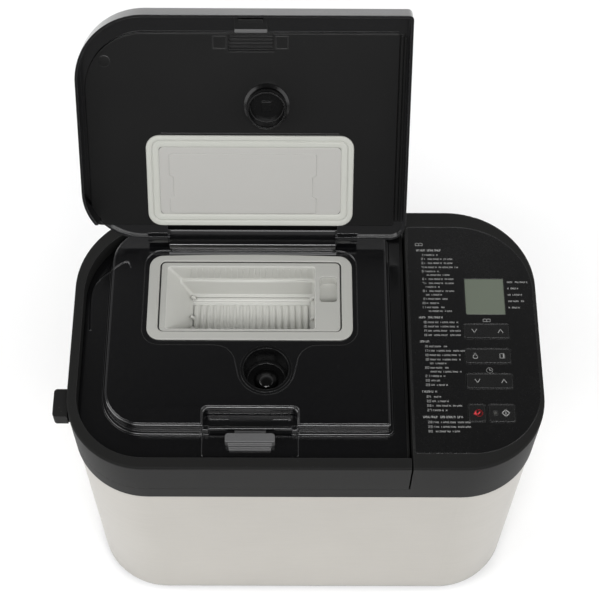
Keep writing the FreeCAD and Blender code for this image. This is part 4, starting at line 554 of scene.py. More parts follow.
channel_outline = rounded(deck_low.x, deck_high.x, deck_low.y, deck_high.y, (59.7, 0.5, 0.5, 70.7), 20)
tray_hole = rounded(frame_low.x + 3, frame_high.x - 3, frame_low.y + 3, frame_high.y - 3, [9] * 4)
cup_hole = circle(WELL_X, WELL_Y, 21.2)


def pocketed(inset, flare):
    """Outline of the raised deck, with the latch pocket cut into its front edge."""
    x0, x1, y0, y1 = MESA[0] + inset, MESA[1] - inset, MESA[2] + inset, MESA[3] - inset
    outline = rounded(x0, x1, y0, y1, [r - inset for r in MESA_R])
    half = POCKET_HALF + flare
    back = POCKET_BACK + flare
    notch = [(latch_x - half, y0)]
    for turn_x, side in ((latch_x - half, 1), (latch_x + half, -1)):
        for step in range(7):
            angle = math.radians(15.0 * step if side > 0 else 90.0 - 15.0 * step)
            notch.append((turn_x + side * 5 * (1 - math.cos(angle)), back - 5 + 5 * math.sin(angle)))
    notch.append((latch_x + half, y0))
    front = ARC_STEPS + 1
    return outline[:front] + notch + outline[front:]


# keyhole: the tray frame's surround, let into the skin, with a bulge forward round the yeast well
keyhole = []
KEY_FRONT = frame_low.y - 4.2
for x, y in rounded(frame_low.x - 4.0, frame_high.x + 4.0, KEY_FRONT, frame_high.y + 4.0, [15] * 4):
    keyhole.append((x, y))
bulge = []
BULGE_R = 24.8
for step in range(25):
    angle = math.radians(188.0 + 164.0 * step / 24)
    bulge.append((WELL_X + BULGE_R * math.cos(angle), WELL_Y + BULGE_R * math.sin(angle)))
shoulder_left = [(WELL_X - 46.0, KEY_FRONT), (WELL_X - 40.0, KEY_FRONT - 0.8),
                 (WELL_X - 34.5, KEY_FRONT - 3.2),
                 (WELL_X - 30.5, KEY_FRONT - 7.2), (WELL_X - 27.6, KEY_FRONT - 12.5)]
shoulder_right = [(2 * WELL_X - x, y) for x, y in reversed(shoulder_left)]
keyhole = keyhole[:ARC_STEPS + 1] + shoulder_left + bulge + shoulder_right + keyhole[ARC_STEPS + 1:]

floor_plate = plate([channel_outline, rounded(MESA[0] + 4, MESA[1] - 4, MESA[2] + 24, MESA[3] - 4, MESA_R)],
                    CHANNEL - 2.0, CHANNEL, 0.3)
step_plate = plate([pocketed(-3.2, 1.0), tray_hole, cup_hole], CHANNEL - 1.2, CHANNEL + 2.2, 1.5, 4)
mesa_plate = plate([pocketed(0.0, 0.0), tray_hole, cup_hole], CHANNEL + 1.0, DECK, 1.7, 5)
skin_plate = plate([pocketed(1.8, 1.6), keyhole], DECK - 0.6, DECK + SKIN, 0.75, 3)
pocket_floor = plate([rounded(latch_x - 41, latch_x + 41, latch_low.y - 4.5, POCKET_BACK + 1.5, [2] * 4)],
                     CHANNEL - 1.0, CHANNEL + 0.25, 0.3)
bridge_y = latch_low.y + 16.8
ledge = plate([rounded(latch_x - 35.5, latch_x + 35.5, bridge_y, bridge_y + 3.0, [1.2] * 4)],
              CHANNEL + 5.0, CHANNEL + 9.2, 1.1, 4)
posts = [plate([rounded(latch_x + side * 38.0 - 3.0, latch_x + side * 38.0 + 3.0, bridge_y - 1.0,
                        bridge_y + 4.0,
                        [1] * 4)], CHANNEL - 0.2, CHANNEL + 9.0, 0.9, 3) for side in (-1, 1)]
grooves = []
for side in (-1, 1):
    for row in range(2):
        centre = latch_x + side * 27.0
        y = POCKET_BACK - 4.8 - row * 6.0
        grooves.append(plate([rounded(centre - 8.0, centre + 8.0, y, y + 0.8, [0.3] * 4, 3)], CHANNEL + 0.1,
                             CHANNEL + 0.7, 0.25))
ridge = merged(
    wire_rod([(-190, 12, CHANNEL - 0.2), (-191.5, 35, CHANNEL + 0.2), (-191, 52, CHANNEL + 0.2),
              (-187, 62, CHANNEL + 0.2),
              (-178, 71, CHANNEL + 0.2), (-172, 76, CHANNEL + 0.2)], 0.8),
    wire_rod([(-172.5, 65.5, DECK + SKIN), (-167, 70.5, DECK + SKIN + 0.1), (-162, 73.8, DECK + SKIN + 0.1),
              (-157.6, 74.6, DECK + SKIN + 0.1), (-156.2, 68.5, DECK + SKIN - 0.2)], 0.7,
             (0.5, 1.0, 1.0, 1.0, 0.4)))
piece("deck_moulding", merged(floor_plate, step_plate, mesa_plate, skin_plate, pocket_floor, ledge, ridge,
                              *posts,
                              *grooves),
      gloss_black, "main_lid", "gloss_black", "lid_deck")

# ---- latch of the second lid -------------------------------------------------------------------------
# Grey stepped catch that slides in the pocket, with two finger ledges along its front.
latch_grey = finish("latch_grey", (0.085, 0.085, 0.086), 0.42, edge_wear_highlight=(0.30, 0.30, 0.30), edge_wear_highlight_share=0.6,
                    grain=1100.0,
                    bump=0.08)
lx0, lx1, ly0, ly1 = latch_low.x, latch_high.x, -103.8, -90.4
catch = merged(
    plate([rounded(lx0, lx1, ly0 + 5.0, ly1, (1.5, 1.5, 3, 3))], CHANNEL + 0.3, latch_high.z, 0.8, 3),
    plate([rounded(lx0 + 2.4, lx1 - 2.4, ly0 + 2.6, ly1 - 4, (1.2, 1.2, 1, 1))], CHANNEL + 0.3,
          CHANNEL + 6.4, 0.6, 3),
    plate([rounded(lx0 + 3.2, lx1 - 3.2, ly0, ly1 - 4, (1.0, 1.0, 1, 1))], CHANNEL + 0.3, CHANNEL + 3.2,
          0.6, 3),
    plate([rounded(lx0 + 8, lx1 - 8, ly1 - 1, latch_high.y, [1] * 4)], CHANNEL + 0.3, CHANNEL + 4.0, 0.3),
)
piece("latch_catch", catch, latch_grey, "latch", "latch_grey", "latch_slider")

# ---- raisin tray -------------------------------------------------------------------------------------
# Light grey frame on the deck, and the lift-out hopper inside it: sloping left wall, ribbed rear wall
# with a shelf, and a finger recess. A thin gap runs between the two.
tray_grey = finish("tray_grey", (0.355, 0.355, 0.333), 0.40, edge_wear_highlight=(0.56, 0.56, 0.54), edge_wear_highlight_share=0.5,
                   grain=1000.0,
                   bump=0.04, cloud=0.05)
tray_inner = finish("tray_inner", (0.52, 0.52, 0.49), 0.34, edge_wear_highlight=(0.75, 0.75, 0.73), edge_wear_highlight_share=0.5, grain=1000.0,
                    bump=0.04, cloud=0.05)
fx0, fx1, fy0, fy1 = frame_low.x, frame_high.x, frame_low.y, frame_high.y
FRAME_TOP = frame_high.z
FLANGE = 9.6
bowed = []
for x, y in rounded(fx0, fx1, fy0, fy1 - 1.5, [12] * 4):
    bowed.append((x, y))
rear = [(fx1 - 12 - (fx1 - fx0 - 24) * n / 16,
         fy1 - 1.5 + 1.4 * math.sin(math.pi * n / 16)) for n in range(1, 16)]
last_arc = 3 * (ARC_STEPS + 1)
bowed = bowed[:last_arc] + rear + bowed[last_arc:]
frame_hole = rounded(fx0 + FLANGE, fx1 - FLANGE, fy0 + 8.2, fy1 - 7.4, [5] * 4)
frame_ring = plate([bowed, frame_hole], DECK, FRAME_TOP, 0.7, 3)
piece("tray_frame", frame_ring, tray_grey, "main_lid", "tray_grey", "dispenser_frame")

tray_low = span("dispenser_tray")[0]
flap_low, flap_high = span("dispenser_flap")
HOP_X0, HOP_X1, HOP_Y0, HOP_Y1 = -123.0, 8.5, 7.0, 70.0
FOOT_X0, FOOT_X1, FOOT_Y1 = -103.0, 8.1, 64.0
SHELF_Z = 290.0
FOOT_Z = tray_low.z
TOP_Z = DECK + 0.6


def hopper_ring(z, x0, x1, y1, y0=HOP_Y0):
    return at_height(rounded(x0, x1, y0, y1, [2.5] * 4, 4), z)


def lean(z):
    """How far the sloping left wall has come in at a height."""
    return HOP_X0 + (FOOT_X0 - HOP_X0) * (TOP_Z - z) / (TOP_Z - FOOT_Z)


inner_rings = [
    hopper_ring(TOP_Z - 0.3, HOP_X0, HOP_X1, HOP_Y1),
    hopper_ring(TOP_Z - 1.2, HOP_X0 + 0.5, HOP_X1 - 0.5, HOP_Y1 - 0.4, HOP_Y0 + 0.3),
    hopper_ring(SHELF_Z + 1.0, lean(SHELF_Z + 1), HOP_X1 - 0.1, HOP_Y1 - 0.8, HOP_Y0 + 0.6),
    hopper_ring(SHELF_Z, lean(SHELF_Z), HOP_X1 - 0.2, HOP_Y1 - 1.4, HOP_Y0 + 0.6),
    hopper_ring(SHELF_Z - 0.4, lean(SHELF_Z) + 0.1, HOP_X1 - 0.4, FOOT_Y1 + 2.2, HOP_Y0 + 0.8),
    hopper_ring(SHELF_Z - 1.4, lean(SHELF_Z - 1.4), HOP_X1 - 0.4, FOOT_Y1 + 1.6, HOP_Y0 + 0.8),
    hopper_ring(FOOT_Z + 1.6, lean(FOOT_Z + 1.6), FOOT_X1, FOOT_Y1, HOP_Y0 + 0.9),
    hopper_ring(FOOT_Z + 0.9, FOOT_X0 + 0.4, FOOT_X1 - 3.0, FOOT_Y1 - 2.6, HOP_Y0 + 1.0),
    hopper_ring(FOOT_Z + 0.2, FOOT_X0 + 0.6, FOOT_X1 - 3.2, FOOT_Y1 - 2.9, HOP_Y0 + 1.0),
]
outer_rings = [
    hopper_ring(FOOT_Z + 0.2, FOOT_X0 - 1.2, FOOT_X1 + 1.6, FOOT_Y1 + 1.6, HOP_Y0 - 0.8),
    hopper_ring(SHELF_Z, lean(SHELF_Z) - 1.5, HOP_X1 + 1.6, HOP_Y1 + 0.4, HOP_Y0 - 1.2),
    hopper_ring(DECK - 1.6, HOP_X0 - 1.4, HOP_X1 + 1.8, HOP_Y1 + 1.6, HOP_Y0 - 1.8),
    hopper_ring(TOP_Z - 1.0, HOP_X0 - 1.8, HOP_X1 + 2.0, HOP_Y1 + 1.8, HOP_Y0 - 2.0),
]
hopper = loft(inner_rings + outer_rings, closed=True)
FINGER = (12.6, 28.0, 34.5, 60.0)
flange_outline = rounded(fx0 + FLANGE + 1.1, fx1 - FLANGE - 1.1, fy0 + 9.2, fy1 - 8.0, [4] * 4)
hopper_hole = rounded(HOP_X0 - 0.4, HOP_X1 + 0.4, HOP_Y0 - 0.4, HOP_Y1 + 0.4, [2.5] * 4, 4)
flange = plate([flange_outline, hopper_hole, rounded(*FINGER, (3, 3, 4, 4))], DECK - 1.6, TOP_Z, 0.5, 3)
finger_wall = plate([rounded(FINGER[0] - 1.4, FINGER[1] + 1.4, FINGER[2] - 1.4, FINGER[3] + 1.4,
                             (4, 4, 5, 5)),
                     rounded(*FINGER, (3, 3, 4, 4))], DECK - 13.6, DECK - 0.6, 0.3)
finger_floor = loft([
    at_height(rounded(FINGER[0] - 0.6, FINGER[1] + 0.6, FINGER[2] - 0.6, FINGER[3] + 0.6, (3, 3, 4, 4)),
              DECK - 13.8),
    at_height(rounded(FINGER[0] - 0.6, FINGER[1] + 0.6, FINGER[2] - 0.6, FINGER[3] + 0.6, (3, 3, 4, 4)),
              DECK - 12.4)])
fins = []
for number in range(21):
    x = HOP_X0 + 20.0 + number * 5.2
    fins.append(wire_rod([(x, HOP_Y1 - 0.6, TOP_Z - 3.2), (x, HOP_Y1 - 1.3, SHELF_Z + 8.0),
                          (x, HOP_Y1 - 1.9, SHELF_Z + 3.0)], 0.55, (0.6, 1.0, 0.4)))
bumps = []
for x, way in ((FOOT_X0 + 0.6, 1), (FOOT_X1 - 0.4, -1)):
    for y in (26.0, 37.0, 57.5):
        bumps.append(wire_rod([(x - way, y, FOOT_Z + 8.0), (x + way * 1.8, y, FOOT_Z + 6.6),
                               (x + way * 2.0, y, FOOT_Z + 2.5)], 1.7, (0.6, 1.0, 0.8)))
shelf_bead = wire_rod([(lean(SHELF_Z) + 3, FOOT_Y1 + 2.4, SHELF_Z + 0.1),
                       (-47.0, FOOT_Y1 + 4.2, SHELF_Z + 0.5),
                       (HOP_X1 - 8, FOOT_Y1 + 2.4, SHELF_Z + 0.1)], 0.8)
piece("tray_hopper", merged(hopper, finger_wall, finger_floor, shelf_bead, *fins, *bumps), tray_inner,
      "main_lid", "tray_grey", "dispenser_tray")
piece("tray_flange", flange, tray_grey, "main_lid", "tray_grey")

# ---- raisin flap -------------------------------------------------------------------------------------
# Ribbed floor of the hopper: close round-backed ribs that end short of a rolled hinge barrel.
FLAP_X0, FLAP_X1 = flap_low.x + 5.0, flap_high.x - 5.0
FLAP_Y0 = flap_low.y
HINGE_Y = flap_high.y - 3.0
BARREL_Z = flap_low.z + 3.0
flap_plate = plate([rounded(FLAP_X0, FLAP_X1, FLAP_Y0, HINGE_Y, (1, 1, 0.5, 0.5), 3)], BARREL_Z - 1.0,
                   BARREL_Z + 1.0,
                   0.3)
barrel = wire_rod([(FLAP_X0, HINGE_Y, BARREL_Z), (0.5 * (FLAP_X0 + FLAP_X1), HINGE_Y, BARREL_Z),
                   (FLAP_X1, HINGE_Y, BARREL_Z)], 3.0)
pins = wire_rod([(FLAP_X0 - 5, HINGE_Y, BARREL_Z), (0.5 * (FLAP_X0 + FLAP_X1), HINGE_Y, BARREL_Z),
                 (FLAP_X1 + 5, HINGE_Y, BARREL_Z)], 1.95)
fold = wire_rod([(FLAP_X0 + 1, HINGE_Y - 3.2, BARREL_Z + 1.0),
                 (0.5 * (FLAP_X0 + FLAP_X1), HINGE_Y - 3.2, BARREL_Z + 1.0),
                 (FLAP_X1 - 1, HINGE_Y - 3.2, BARREL_Z + 1.0)], 1.5)
RIBS = 18
ribs = []
for number in range(RIBS):
    x = FLAP_X0 + 4.0 + (FLAP_X1 - FLAP_X0 - 8.0) * number / (RIBS - 1)
    ribs.append(wire_rod([(x, FLAP_Y0 + 2.2, BARREL_Z + 0.5),
                          (x, 0.5 * (FLAP_Y0 + HINGE_Y), BARREL_Z + 0.5),
                          (x, HINGE_Y - 8.5, BARREL_Z + 0.5), (x, HINGE_Y - 6.8, BARREL_Z - 0.3)], 2.05))
piece("flap_floor", merged(flap_plate, barrel, pins, fold, *ribs), tray_inner, "raisin_flap", "tray_grey",
      "dispenser_flap")

# ---- yeast well and valve ----------------------------------------------------------------------------
# Satin black cup with a rolled lip, a conical floor, and a domed valve that seals its outlet.
liner_black = finish("liner_black", (0.0045, 0.0045, 0.0045), 0.34, edge_wear_highlight=(0.06, 0.06, 0.06), edge_wear_highlight_share=0.55,
                     grain=1200.0,
                     bump=0.05, cloud=0.08, lint=0.08, smear=0.05, specular=0.3)
CUP_TOP = cup_high.z
CUP_FLOOR = DECK - 23.5
tube_low = cup_low.z
cup_profile = [(7.5, tube_low), (9.0, tube_low), (9.0, CUP_FLOOR - 2.4), (10.0, CUP_FLOOR - 2.0),
               (19.4, CUP_FLOOR - 1.8),
               (20.9, CUP_FLOOR), (20.9, DECK - 0.1), (22.6, DECK - 0.1), (22.8, DECK + 0.4),
               (22.3, CUP_TOP),
               (20.6, CUP_TOP + 0.1), (19.7, CUP_TOP - 0.3), (19.2, DECK - 0.9), (18.8, CUP_FLOOR + 8),
               (18.2, CUP_FLOOR + 2.2), (16.6, CUP_FLOOR + 0.6), (8.2, CUP_FLOOR), (7.5, CUP_FLOOR - 0.6)]
well_black = finish("well_black", (0.0025, 0.0025, 0.0026), 0.26, edge_wear_highlight=(0.05, 0.05, 0.05), edge_wear_highlight_share=0.6,
                    grain=900.0, bump=0.02,
                    specular=0.3)
piece("yeast_well", turned(cup_profile, WELL_X, WELL_Y), well_black, "main_lid", "liner_black", "yeast_cup")
valve_black = finish("valve_black", (0.003, 0.003, 0.003), 0.14, edge_wear_highlight=(0.04, 0.04, 0.04), grain=900.0,
                     bump=0.01,
                     coat=0.5, specular=0.9)
valve_low, valve_high = span("yeast_valve")
VALVE_TOP = valve_high.z
valve_profile = [(0, valve_low.z), (2.45, valve_low.z), (2.45, CUP_FLOOR + 0.1), (10.0, CUP_FLOOR + 0.1),
                 (10.5, CUP_FLOOR + 0.5), (10.4, CUP_FLOOR + 1.2)]
for step in range(1, 9):
    angle = math.radians(90.0 * step / 8)
    valve_profile.append((10.4 * math.cos(angle),
                          CUP_FLOOR + 1.2 + (VALVE_TOP - CUP_FLOOR - 1.2) * math.sin(angle)))
valve_profile[-1] = (0, VALVE_TOP)
piece("valve_dome", turned(valve_profile, WELL_X, WELL_Y), valve_black, "valve", "valve_black",
      "yeast_valve")

# ---- hinge block of the second lid -------------------------------------------------------------------
# Long housing behind the tray, with a rolled top, fine draft lines along its front and a lighter foot
# strip, which the second lid's ears turn against.
block_low, block_high = span("hinge_block")
bx0, bx1 = block_low.x, block_high.x
by0, by1 = block_low.y, block_high.y
side_rings = []
block_shape = [(by0, DECK), (by0, block_high.z - 3.6), (by0 + 0.35, block_high.z - 1.9),
               (by0 + 1.2, block_high.z - 0.7),
               (by0 + 2.6, block_high.z), (by1 - 3.0, block_high.z), (by1 - 1.2, block_high.z - 0.7),
               (by1, block_high.z - 2.6), (by1, DECK)]
for x, inset in ((bx0, 0.5), (bx0 + 0.5, 0.0), (bx1 - 0.5, 0.0), (bx1, 0.5)):
    side_rings.append([(x, min(max(y, by0 + inset), by1 - inset), min(z, block_high.z - inset)) for y,
                       z in block_shape])
draft_lines = [plate([rounded(bx0 + 2, bx1 - 2, by0 - 0.5, by0 + 1.0, [0.3] * 4, 3)],
                     block_high.z - 5.4 - row * 3.0, block_high.z - 4.6 - row * 3.0,
                     0.2) for row in range(3)]
foot_strip = plate([rounded(bx0 - 1.0, bx1 + 1.0, by0 - 1.9, by0 + 1.0, (0.8, 0.8, 0.3, 0.3), 4)], DECK,
                   DECK + 1.7, 0.6, 3)
piece("hinge_housing", merged(loft(side_rings), *draft_lines), gloss_black, "main_lid", "gloss_black",
      "hinge_block")
piece("hinge_foot_strip", foot_strip, latch_grey, "main_lid", "gloss_black")

# ---- second lid --------------------------------------------------------------------------------------
# Gloss black shell with a deep edge, drawn shut and turned open on its hinge. Its liner is clipped
# inside, with a latch recess, corner dimple, rib ends above the pad and a double rib on the seam side.
TOP_HINGE = Vector((0, 95.0 * MM, (rim_top + 7.0) * MM))
LID_OPEN = (Matrix.Translation(TOP_HINGE) @ Matrix.Rotation(math.radians(-124.0), 4, "X")
            @ Matrix.Translation(-TOP_HINGE))
TX0, TX1, TY0 = -195.1, 87.7, -115.6
FACE = rim_top + 6.0
LINER = rim_top + 0.4
dress(gloss_black, "top_lid_shell")
LX0, LX1, LY0, LY1 = TX0 + 5.6, TX1 - 3.6, TY0 + 20.2, 81.0
recess_low, recess_high = LY0 + 1.6, LY0 + 15.2
recess = rounded(latch_x - 19.0, latch_x + 19.0, recess_low, recess_high, [1] * 4, 3)
liner_parts = [
    plate([rounded(LX0, LX1 - 6.0, LY0, LY1, (52.0, 2.0, 3.0, 8.0), 16), recess], LINER, FACE - 2.6, 0.8,
          4),
    plate([rounded(LX1 - 5.2, LX1 - 2.8, LY0 + 2.0, LY1 - 4.0, [0.8] * 4, 3)], LINER + 0.4, FACE - 2.6,
          0.5, 3),
    plate([rounded(LX1 - 2.0, LX1, LY0 + 4.0, LY1 - 4.0, [0.6] * 4, 3)], LINER + 0.9, FACE - 2.6, 0.4, 3),
    plate([rounded(LX0 + 4, LX1 - 1, LY0 + 0.6, LY1 - 4.0, (50.0, 2.0, 3.0, 8.0))], LINER + 2.4,
          FACE - 2.4, 0.3),
    turned([(0, LINER - 0.3), (4.5, LINER - 0.3), (5.0, LINER - 0.05), (5.1, LINER + 1), (0, LINER + 1)],
           -171.6, -70.5, 40),
    plate([rounded(latch_x - 19.6, latch_x + 19.6, recess_high - 0.2, recess_high + 1.2, [0.4] * 4, 3)],
          LINER - 0.8, LINER + 1.0, 0.6, 3),
]
for x0, x1 in ((latch_x - 32.5, latch_x - 20.6), (latch_x + 20.6, latch_x + 31.5)):
    liner_parts.append(plate([rounded(x0, x1, recess_low + 1.0, recess_high - 1.2, [0.8] * 4, 3),
                              rounded(x0 + 0.7, x1 - 0.7, recess_low + 1.7, recess_high - 1.9, [0.5] * 4,
                                      3)],
                             LINER - 0.15, LINER + 0.6, 0.1))
for row in range(4):
    y = recess_low + 1.2 + row * 3.1
    liner_parts.append(plate([rounded(latch_x - 18.6, latch_x + 18.6, y, y + 1.2, [0.4] * 4, 3)],
                             LINER + 1.4,
                             LINER + 2.9, 0.35))
for x in (-114.0, -88.0, -61.6, -9.2, 16.6):
    liner_parts.append(plate([rounded(x - 0.45, x + 0.45, -6.2, -3.6, [0.3] * 4, 3)], LINER - 0.45,
                             LINER + 0.5,
                             0.2))
liner_parts.append(plate([rounded(-126.0, 28.0, -6.2, -5.4, [0.3] * 4, 3)], LINER - 0.2, LINER + 0.5, 0.15))
piece("lid_liner", merged(*liner_parts), liner_black, "top_lid", "liner_black", "top_lid_liner",
      turn=LID_OPEN)

# ---- pad of the second lid ---------------------------------------------------------------------------
# Soft off-white silicone seal with two rolled rings and a groove between, round a stiff plate with a
# raised middle that is notched at both ends.
pad_silicone = finish("pad_silicone", (0.435, 0.440, 0.405), 0.52, edge_wear_highlight=(0.60, 0.60, 0.57), edge_wear_highlight_share=0.3,
                      grain=800.0,
                      bump=0.03, cloud=0.04)
pad_hard = finish("pad_plate", (0.385, 0.380, 0.362), 0.44, edge_wear_highlight=(0.52, 0.51, 0.49), edge_wear_highlight_share=0.5,
                  grain=1000.0, bump=0.04,
                  cloud=0.03)
PX0, PX1, PY0, PY1 = -139.3, 41.3, -4.4, 80.5
PAD_LOW = rim_top - 1.1
seal_shape = [(0.0, LINER), (0.0, PAD_LOW + 0.9), (0.5, PAD_LOW + 0.2), (1.5, PAD_LOW), (3.6, PAD_LOW),
              (4.4, PAD_LOW + 0.25), (4.9, PAD_LOW + 0.9), (5.4, PAD_LOW + 0.9), (5.9, PAD_LOW + 0.2),
              (7.0, PAD_LOW + 0.05),
              (9.4, PAD_LOW + 0.15), (10.6, PAD_LOW + 0.6), (11.0, PAD_LOW + 1.1), (11.0, LINER)]
seal = loft([at_height(rounded(PX0 + i, PX1 - i, PY0 + i, PY1 - i, [max(12 - i, 3.0)] * 4, 12), z)
             for i, z in seal_shape], closed=True)
piece("pad_seal", seal, pad_silicone, "top_lid", "pad_silicone", "pad_frame", turn=LID_OPEN)
inner_plate = plate([rounded(PX0 + 11, PX1 - 11, PY0 + 11, PY1 - 11, [4] * 4)], PAD_LOW + 1.0, LINER, 0.2)
NX0, NX1, NY0, NY1 = -119.5, 8.8, 12.5, 68.5
plateau = rounded(NX0, NX1, NY0, NY1, [2.5] * 4, 5)
NOTCH_MID, NOTCH_HALF = 43.5, 9.0
right_notch = [(NX1, NOTCH_MID - NOTCH_HALF - 2), (NX1 - 3.4, NOTCH_MID - NOTCH_HALF),
               (NX1 - 3.4, NOTCH_MID + NOTCH_HALF),
               (NX1, NOTCH_MID + NOTCH_HALF + 2)]
left_notch = [(NX0, NOTCH_MID + NOTCH_HALF + 2), (NX0 + 3.4, NOTCH_MID + NOTCH_HALF),
              (NX0 + 3.4, NOTCH_MID - NOTCH_HALF),
              (NX0, NOTCH_MID - NOTCH_HALF - 2)]
plateau = plateau[:12] + right_notch + plateau[12:] + left_notch
raised = plate([plateau], PAD_LOW + 0.35, PAD_LOW + 1.6, 0.3, 2)
piece("pad_middle", merged(inner_plate, raised), pad_hard, "top_lid", "pad_plate", "pad_plate",
      turn=LID_OPEN)

# ---- yeast plug, finger tab and hook -----------------------------------------------------------------
# Hollow plug that closes the yeast well, the grey-lipped tab that lifts the lid, and the hook that the
# latch holds.
plug_profile = [(20.0, LINER + 0.2), (19.8, LINER - 0.9), (18.2, LINER - 1.9), (17.2, LINER - 2.6),
                (17.0, LINER - 12.6),
                (16.4, LINER - 13.4), (15.4, LINER - 13.4), (14.7, LINER - 12.4), (14.5, LINER + 0.2)]
plug_floor = turned([(0, LINER + 0.2), (14.9, LINER + 0.2), (14.9, LINER - 2.2), (0, LINER - 2.4)], WELL_X,
                    WELL_Y)
plug_key = plate([rounded(WELL_X - 4.5, WELL_X + 4.5, WELL_Y - 4.5, WELL_Y + 4.5, [0.8] * 4, 4)],
                 LINER - 3.4, LINER - 1.8, 0.4, 3)
piece("plug_cup", merged(turned(plug_profile, WELL_X, WELL_Y), plug_floor, plug_key), well_black, "top_lid",
      "liner_black", "yeast_plug", turn=LID_OPEN)
tab_outline = rounded(latch_x - 14.2, latch_x + 14.2, TY0 + 4.0, TY0 + 20.0, (4, 4, 0.5, 0.5), 6)
piece("finger_tab", plate([tab_outline], rim_top + 0.8, FACE - 2.3, 0.8, 3), liner_black, "top_lid",
      "rim_plastic",
      "lid_pull", turn=LID_OPEN)
tab_lip = plate([rounded(latch_x - 13.8, latch_x + 13.8, TY0 + 16.6, TY0 + 19.8, [0.5] * 4, 3)],
                rim_top - 0.4, rim_top + 1.0, 0.5, 3)
piece("tab_lip", tab_lip, latch_grey, "top_lid", "rim_plastic", turn=LID_OPEN)
dress(liner_black, "lid_hook")

# ---- control panel -----------------------------------------------------------------------------------
# Gloss black overlay let into the housing, with the programme numbers, rows of blocks in place of words and icons
# screen printed in pale grey. The marks lie as a thin ink film on the overlay.
over_low, over_high = span("control_overlay")
PANEL = over_high.z
KEY_X0, KEY_X1 = 138.0, 177.6
KEY_ROWS = (3.9, -20.5, -44.6)
PUSH_Y = -74.8
keys = [rounded(KEY_X0 - 0.4, KEY_X1 + 0.4, y - 7.35, y + 7.35, [2.5] * 4, 5) for y in KEY_ROWS]
keys.append(rounded(KEY_X0 - 0.4, KEY_X0 + 14.8, PUSH_Y - 8.5, PUSH_Y + 8.5, [2.5] * 4, 5))
keys.append(rounded(KEY_X0 + 17.0, KEY_X1 + 0.4, PUSH_Y - 8.5, PUSH_Y + 8.5, [2.5] * 4, 5))
lcd_hole = rounded(140.8, 175.8, 20.6, 56.8, (1.5, 0.6, 0.6, 0.6), 4)
overlay_outline = rounded(over_low.x, over_high.x, over_low.y, over_high.y, (2.0, 60.0, 66.0, 2.0), 20)
film_black = finish("film_black", (0.0028, 0.0028, 0.0029), 0.24, edge_wear_highlight=(0.10, 0.10, 0.10), edge_wear_highlight_share=0.8,
                    grain=500.0,
                    bump=0.015, cloud=0.15, lint=0.06, smear=0.07)
piece("panel_overlay", plate([overlay_outline, lcd_hole] + keys, over_low.z, PANEL + 0.15, 0.3, 3),
      film_black, "root",
      "gloss_black", "control_overlay")

INK = 0.05
ink_white = finish("ink_white", (0.27, 0.27, 0.265), 0.6, grain=600.0, bump=0.02, edge_wear_highlight_share=0.0)
ink_red = finish("ink_red", (0.50, 0.028, 0.035), 0.5, grain=600.0, bump=0.02, edge_wear_highlight_share=0.0)


def flat_marks(z):
    """Collector of flat printed shapes at one height. Add outlines, then take the film as a mesh."""
    work = bmesh.new()

    def add(outline):
        face = work.faces.new([work.verts.new((x * MM, y * MM, z * MM)) for x, y in outline])
        top = bmesh.ops.extrude_face_region(work, geom=[face])
        for made in top["geom"]:
            if isinstance(made, bmesh.types.BMVert):
                made.co.z += INK * MM

    return work, add


def bar(x0, x1, y0, y1):
    return [(x0, y0), (x1, y0), (x1, y1), (x0, y1)]


def stroke(points, width):
    """Outlines of a broken line of even width."""
    made = []
    for (ax, ay), (bx, by) in zip(points, points[1:]):
        length = math.hypot(bx - ax, by - ay)
        nx, ny = -(by - ay) / length * width / 2, (bx - ax) / length * width / 2
        ex, ey = (bx - ax) / length * width * 0.35, (by - ay) / length * width * 0.35
        made.append([(ax - nx - ex, ay - ny - ey), (bx - nx + ex, by - ny + ey),
                     (bx + nx + ex, by + ny + ey),
                     (ax + nx - ex, ay + ny - ey)])
    return made


DIGITS = {"0": "abcdef", "1": "bc", "2": "abged", "3": "abgcd", "4": "fgbc", "5": "afgcd", "6": "afgedc",
          "7": "abc",
          "8": "abcdefg", "9": "abcdfg"}


def digit(figure, x, y, width, height, line):
    """Seven-stroke figure with its lower left corner at x, y."""
    top, mid = y + height, y + height / 2
    right = x + width
    ends = {"a": ((x, top), (right, top)), "b": ((right, top), (right, mid)),
            "c": ((right, mid), (right, y)),
            "d": ((x, y), (right, y)), "e": ((x, y), (x, mid)), "f": ((x, mid), (x, top)),
            "g": ((x, mid), (right, mid))}
    return [outline for part in DIGITS[figure] for outline in stroke(ends[part], line)]


def words(add, x, y, letters, pitch, height, weight):
    """Rows of small blocks in place of words: two uprights and a crossbar whose height changes."""
    for number in range(letters):
        if (number * 7 + letters) % 9 == 5:
            continue
        left = x + number * pitch
        wide = pitch * weight
        add(bar(left, left + pitch * 0.24, y, y + height))
        if (number + letters) % 4:
            add(bar(left + wide - pitch * 0.24, left + wide, y, y + height))
        rise = height * (0.0, 0.42, 0.80)[(number * 5 + letters) % 3]
        add(bar(left + pitch * 0.24, left + wide - pitch * 0.24, y + rise, y + rise + height * 0.20))


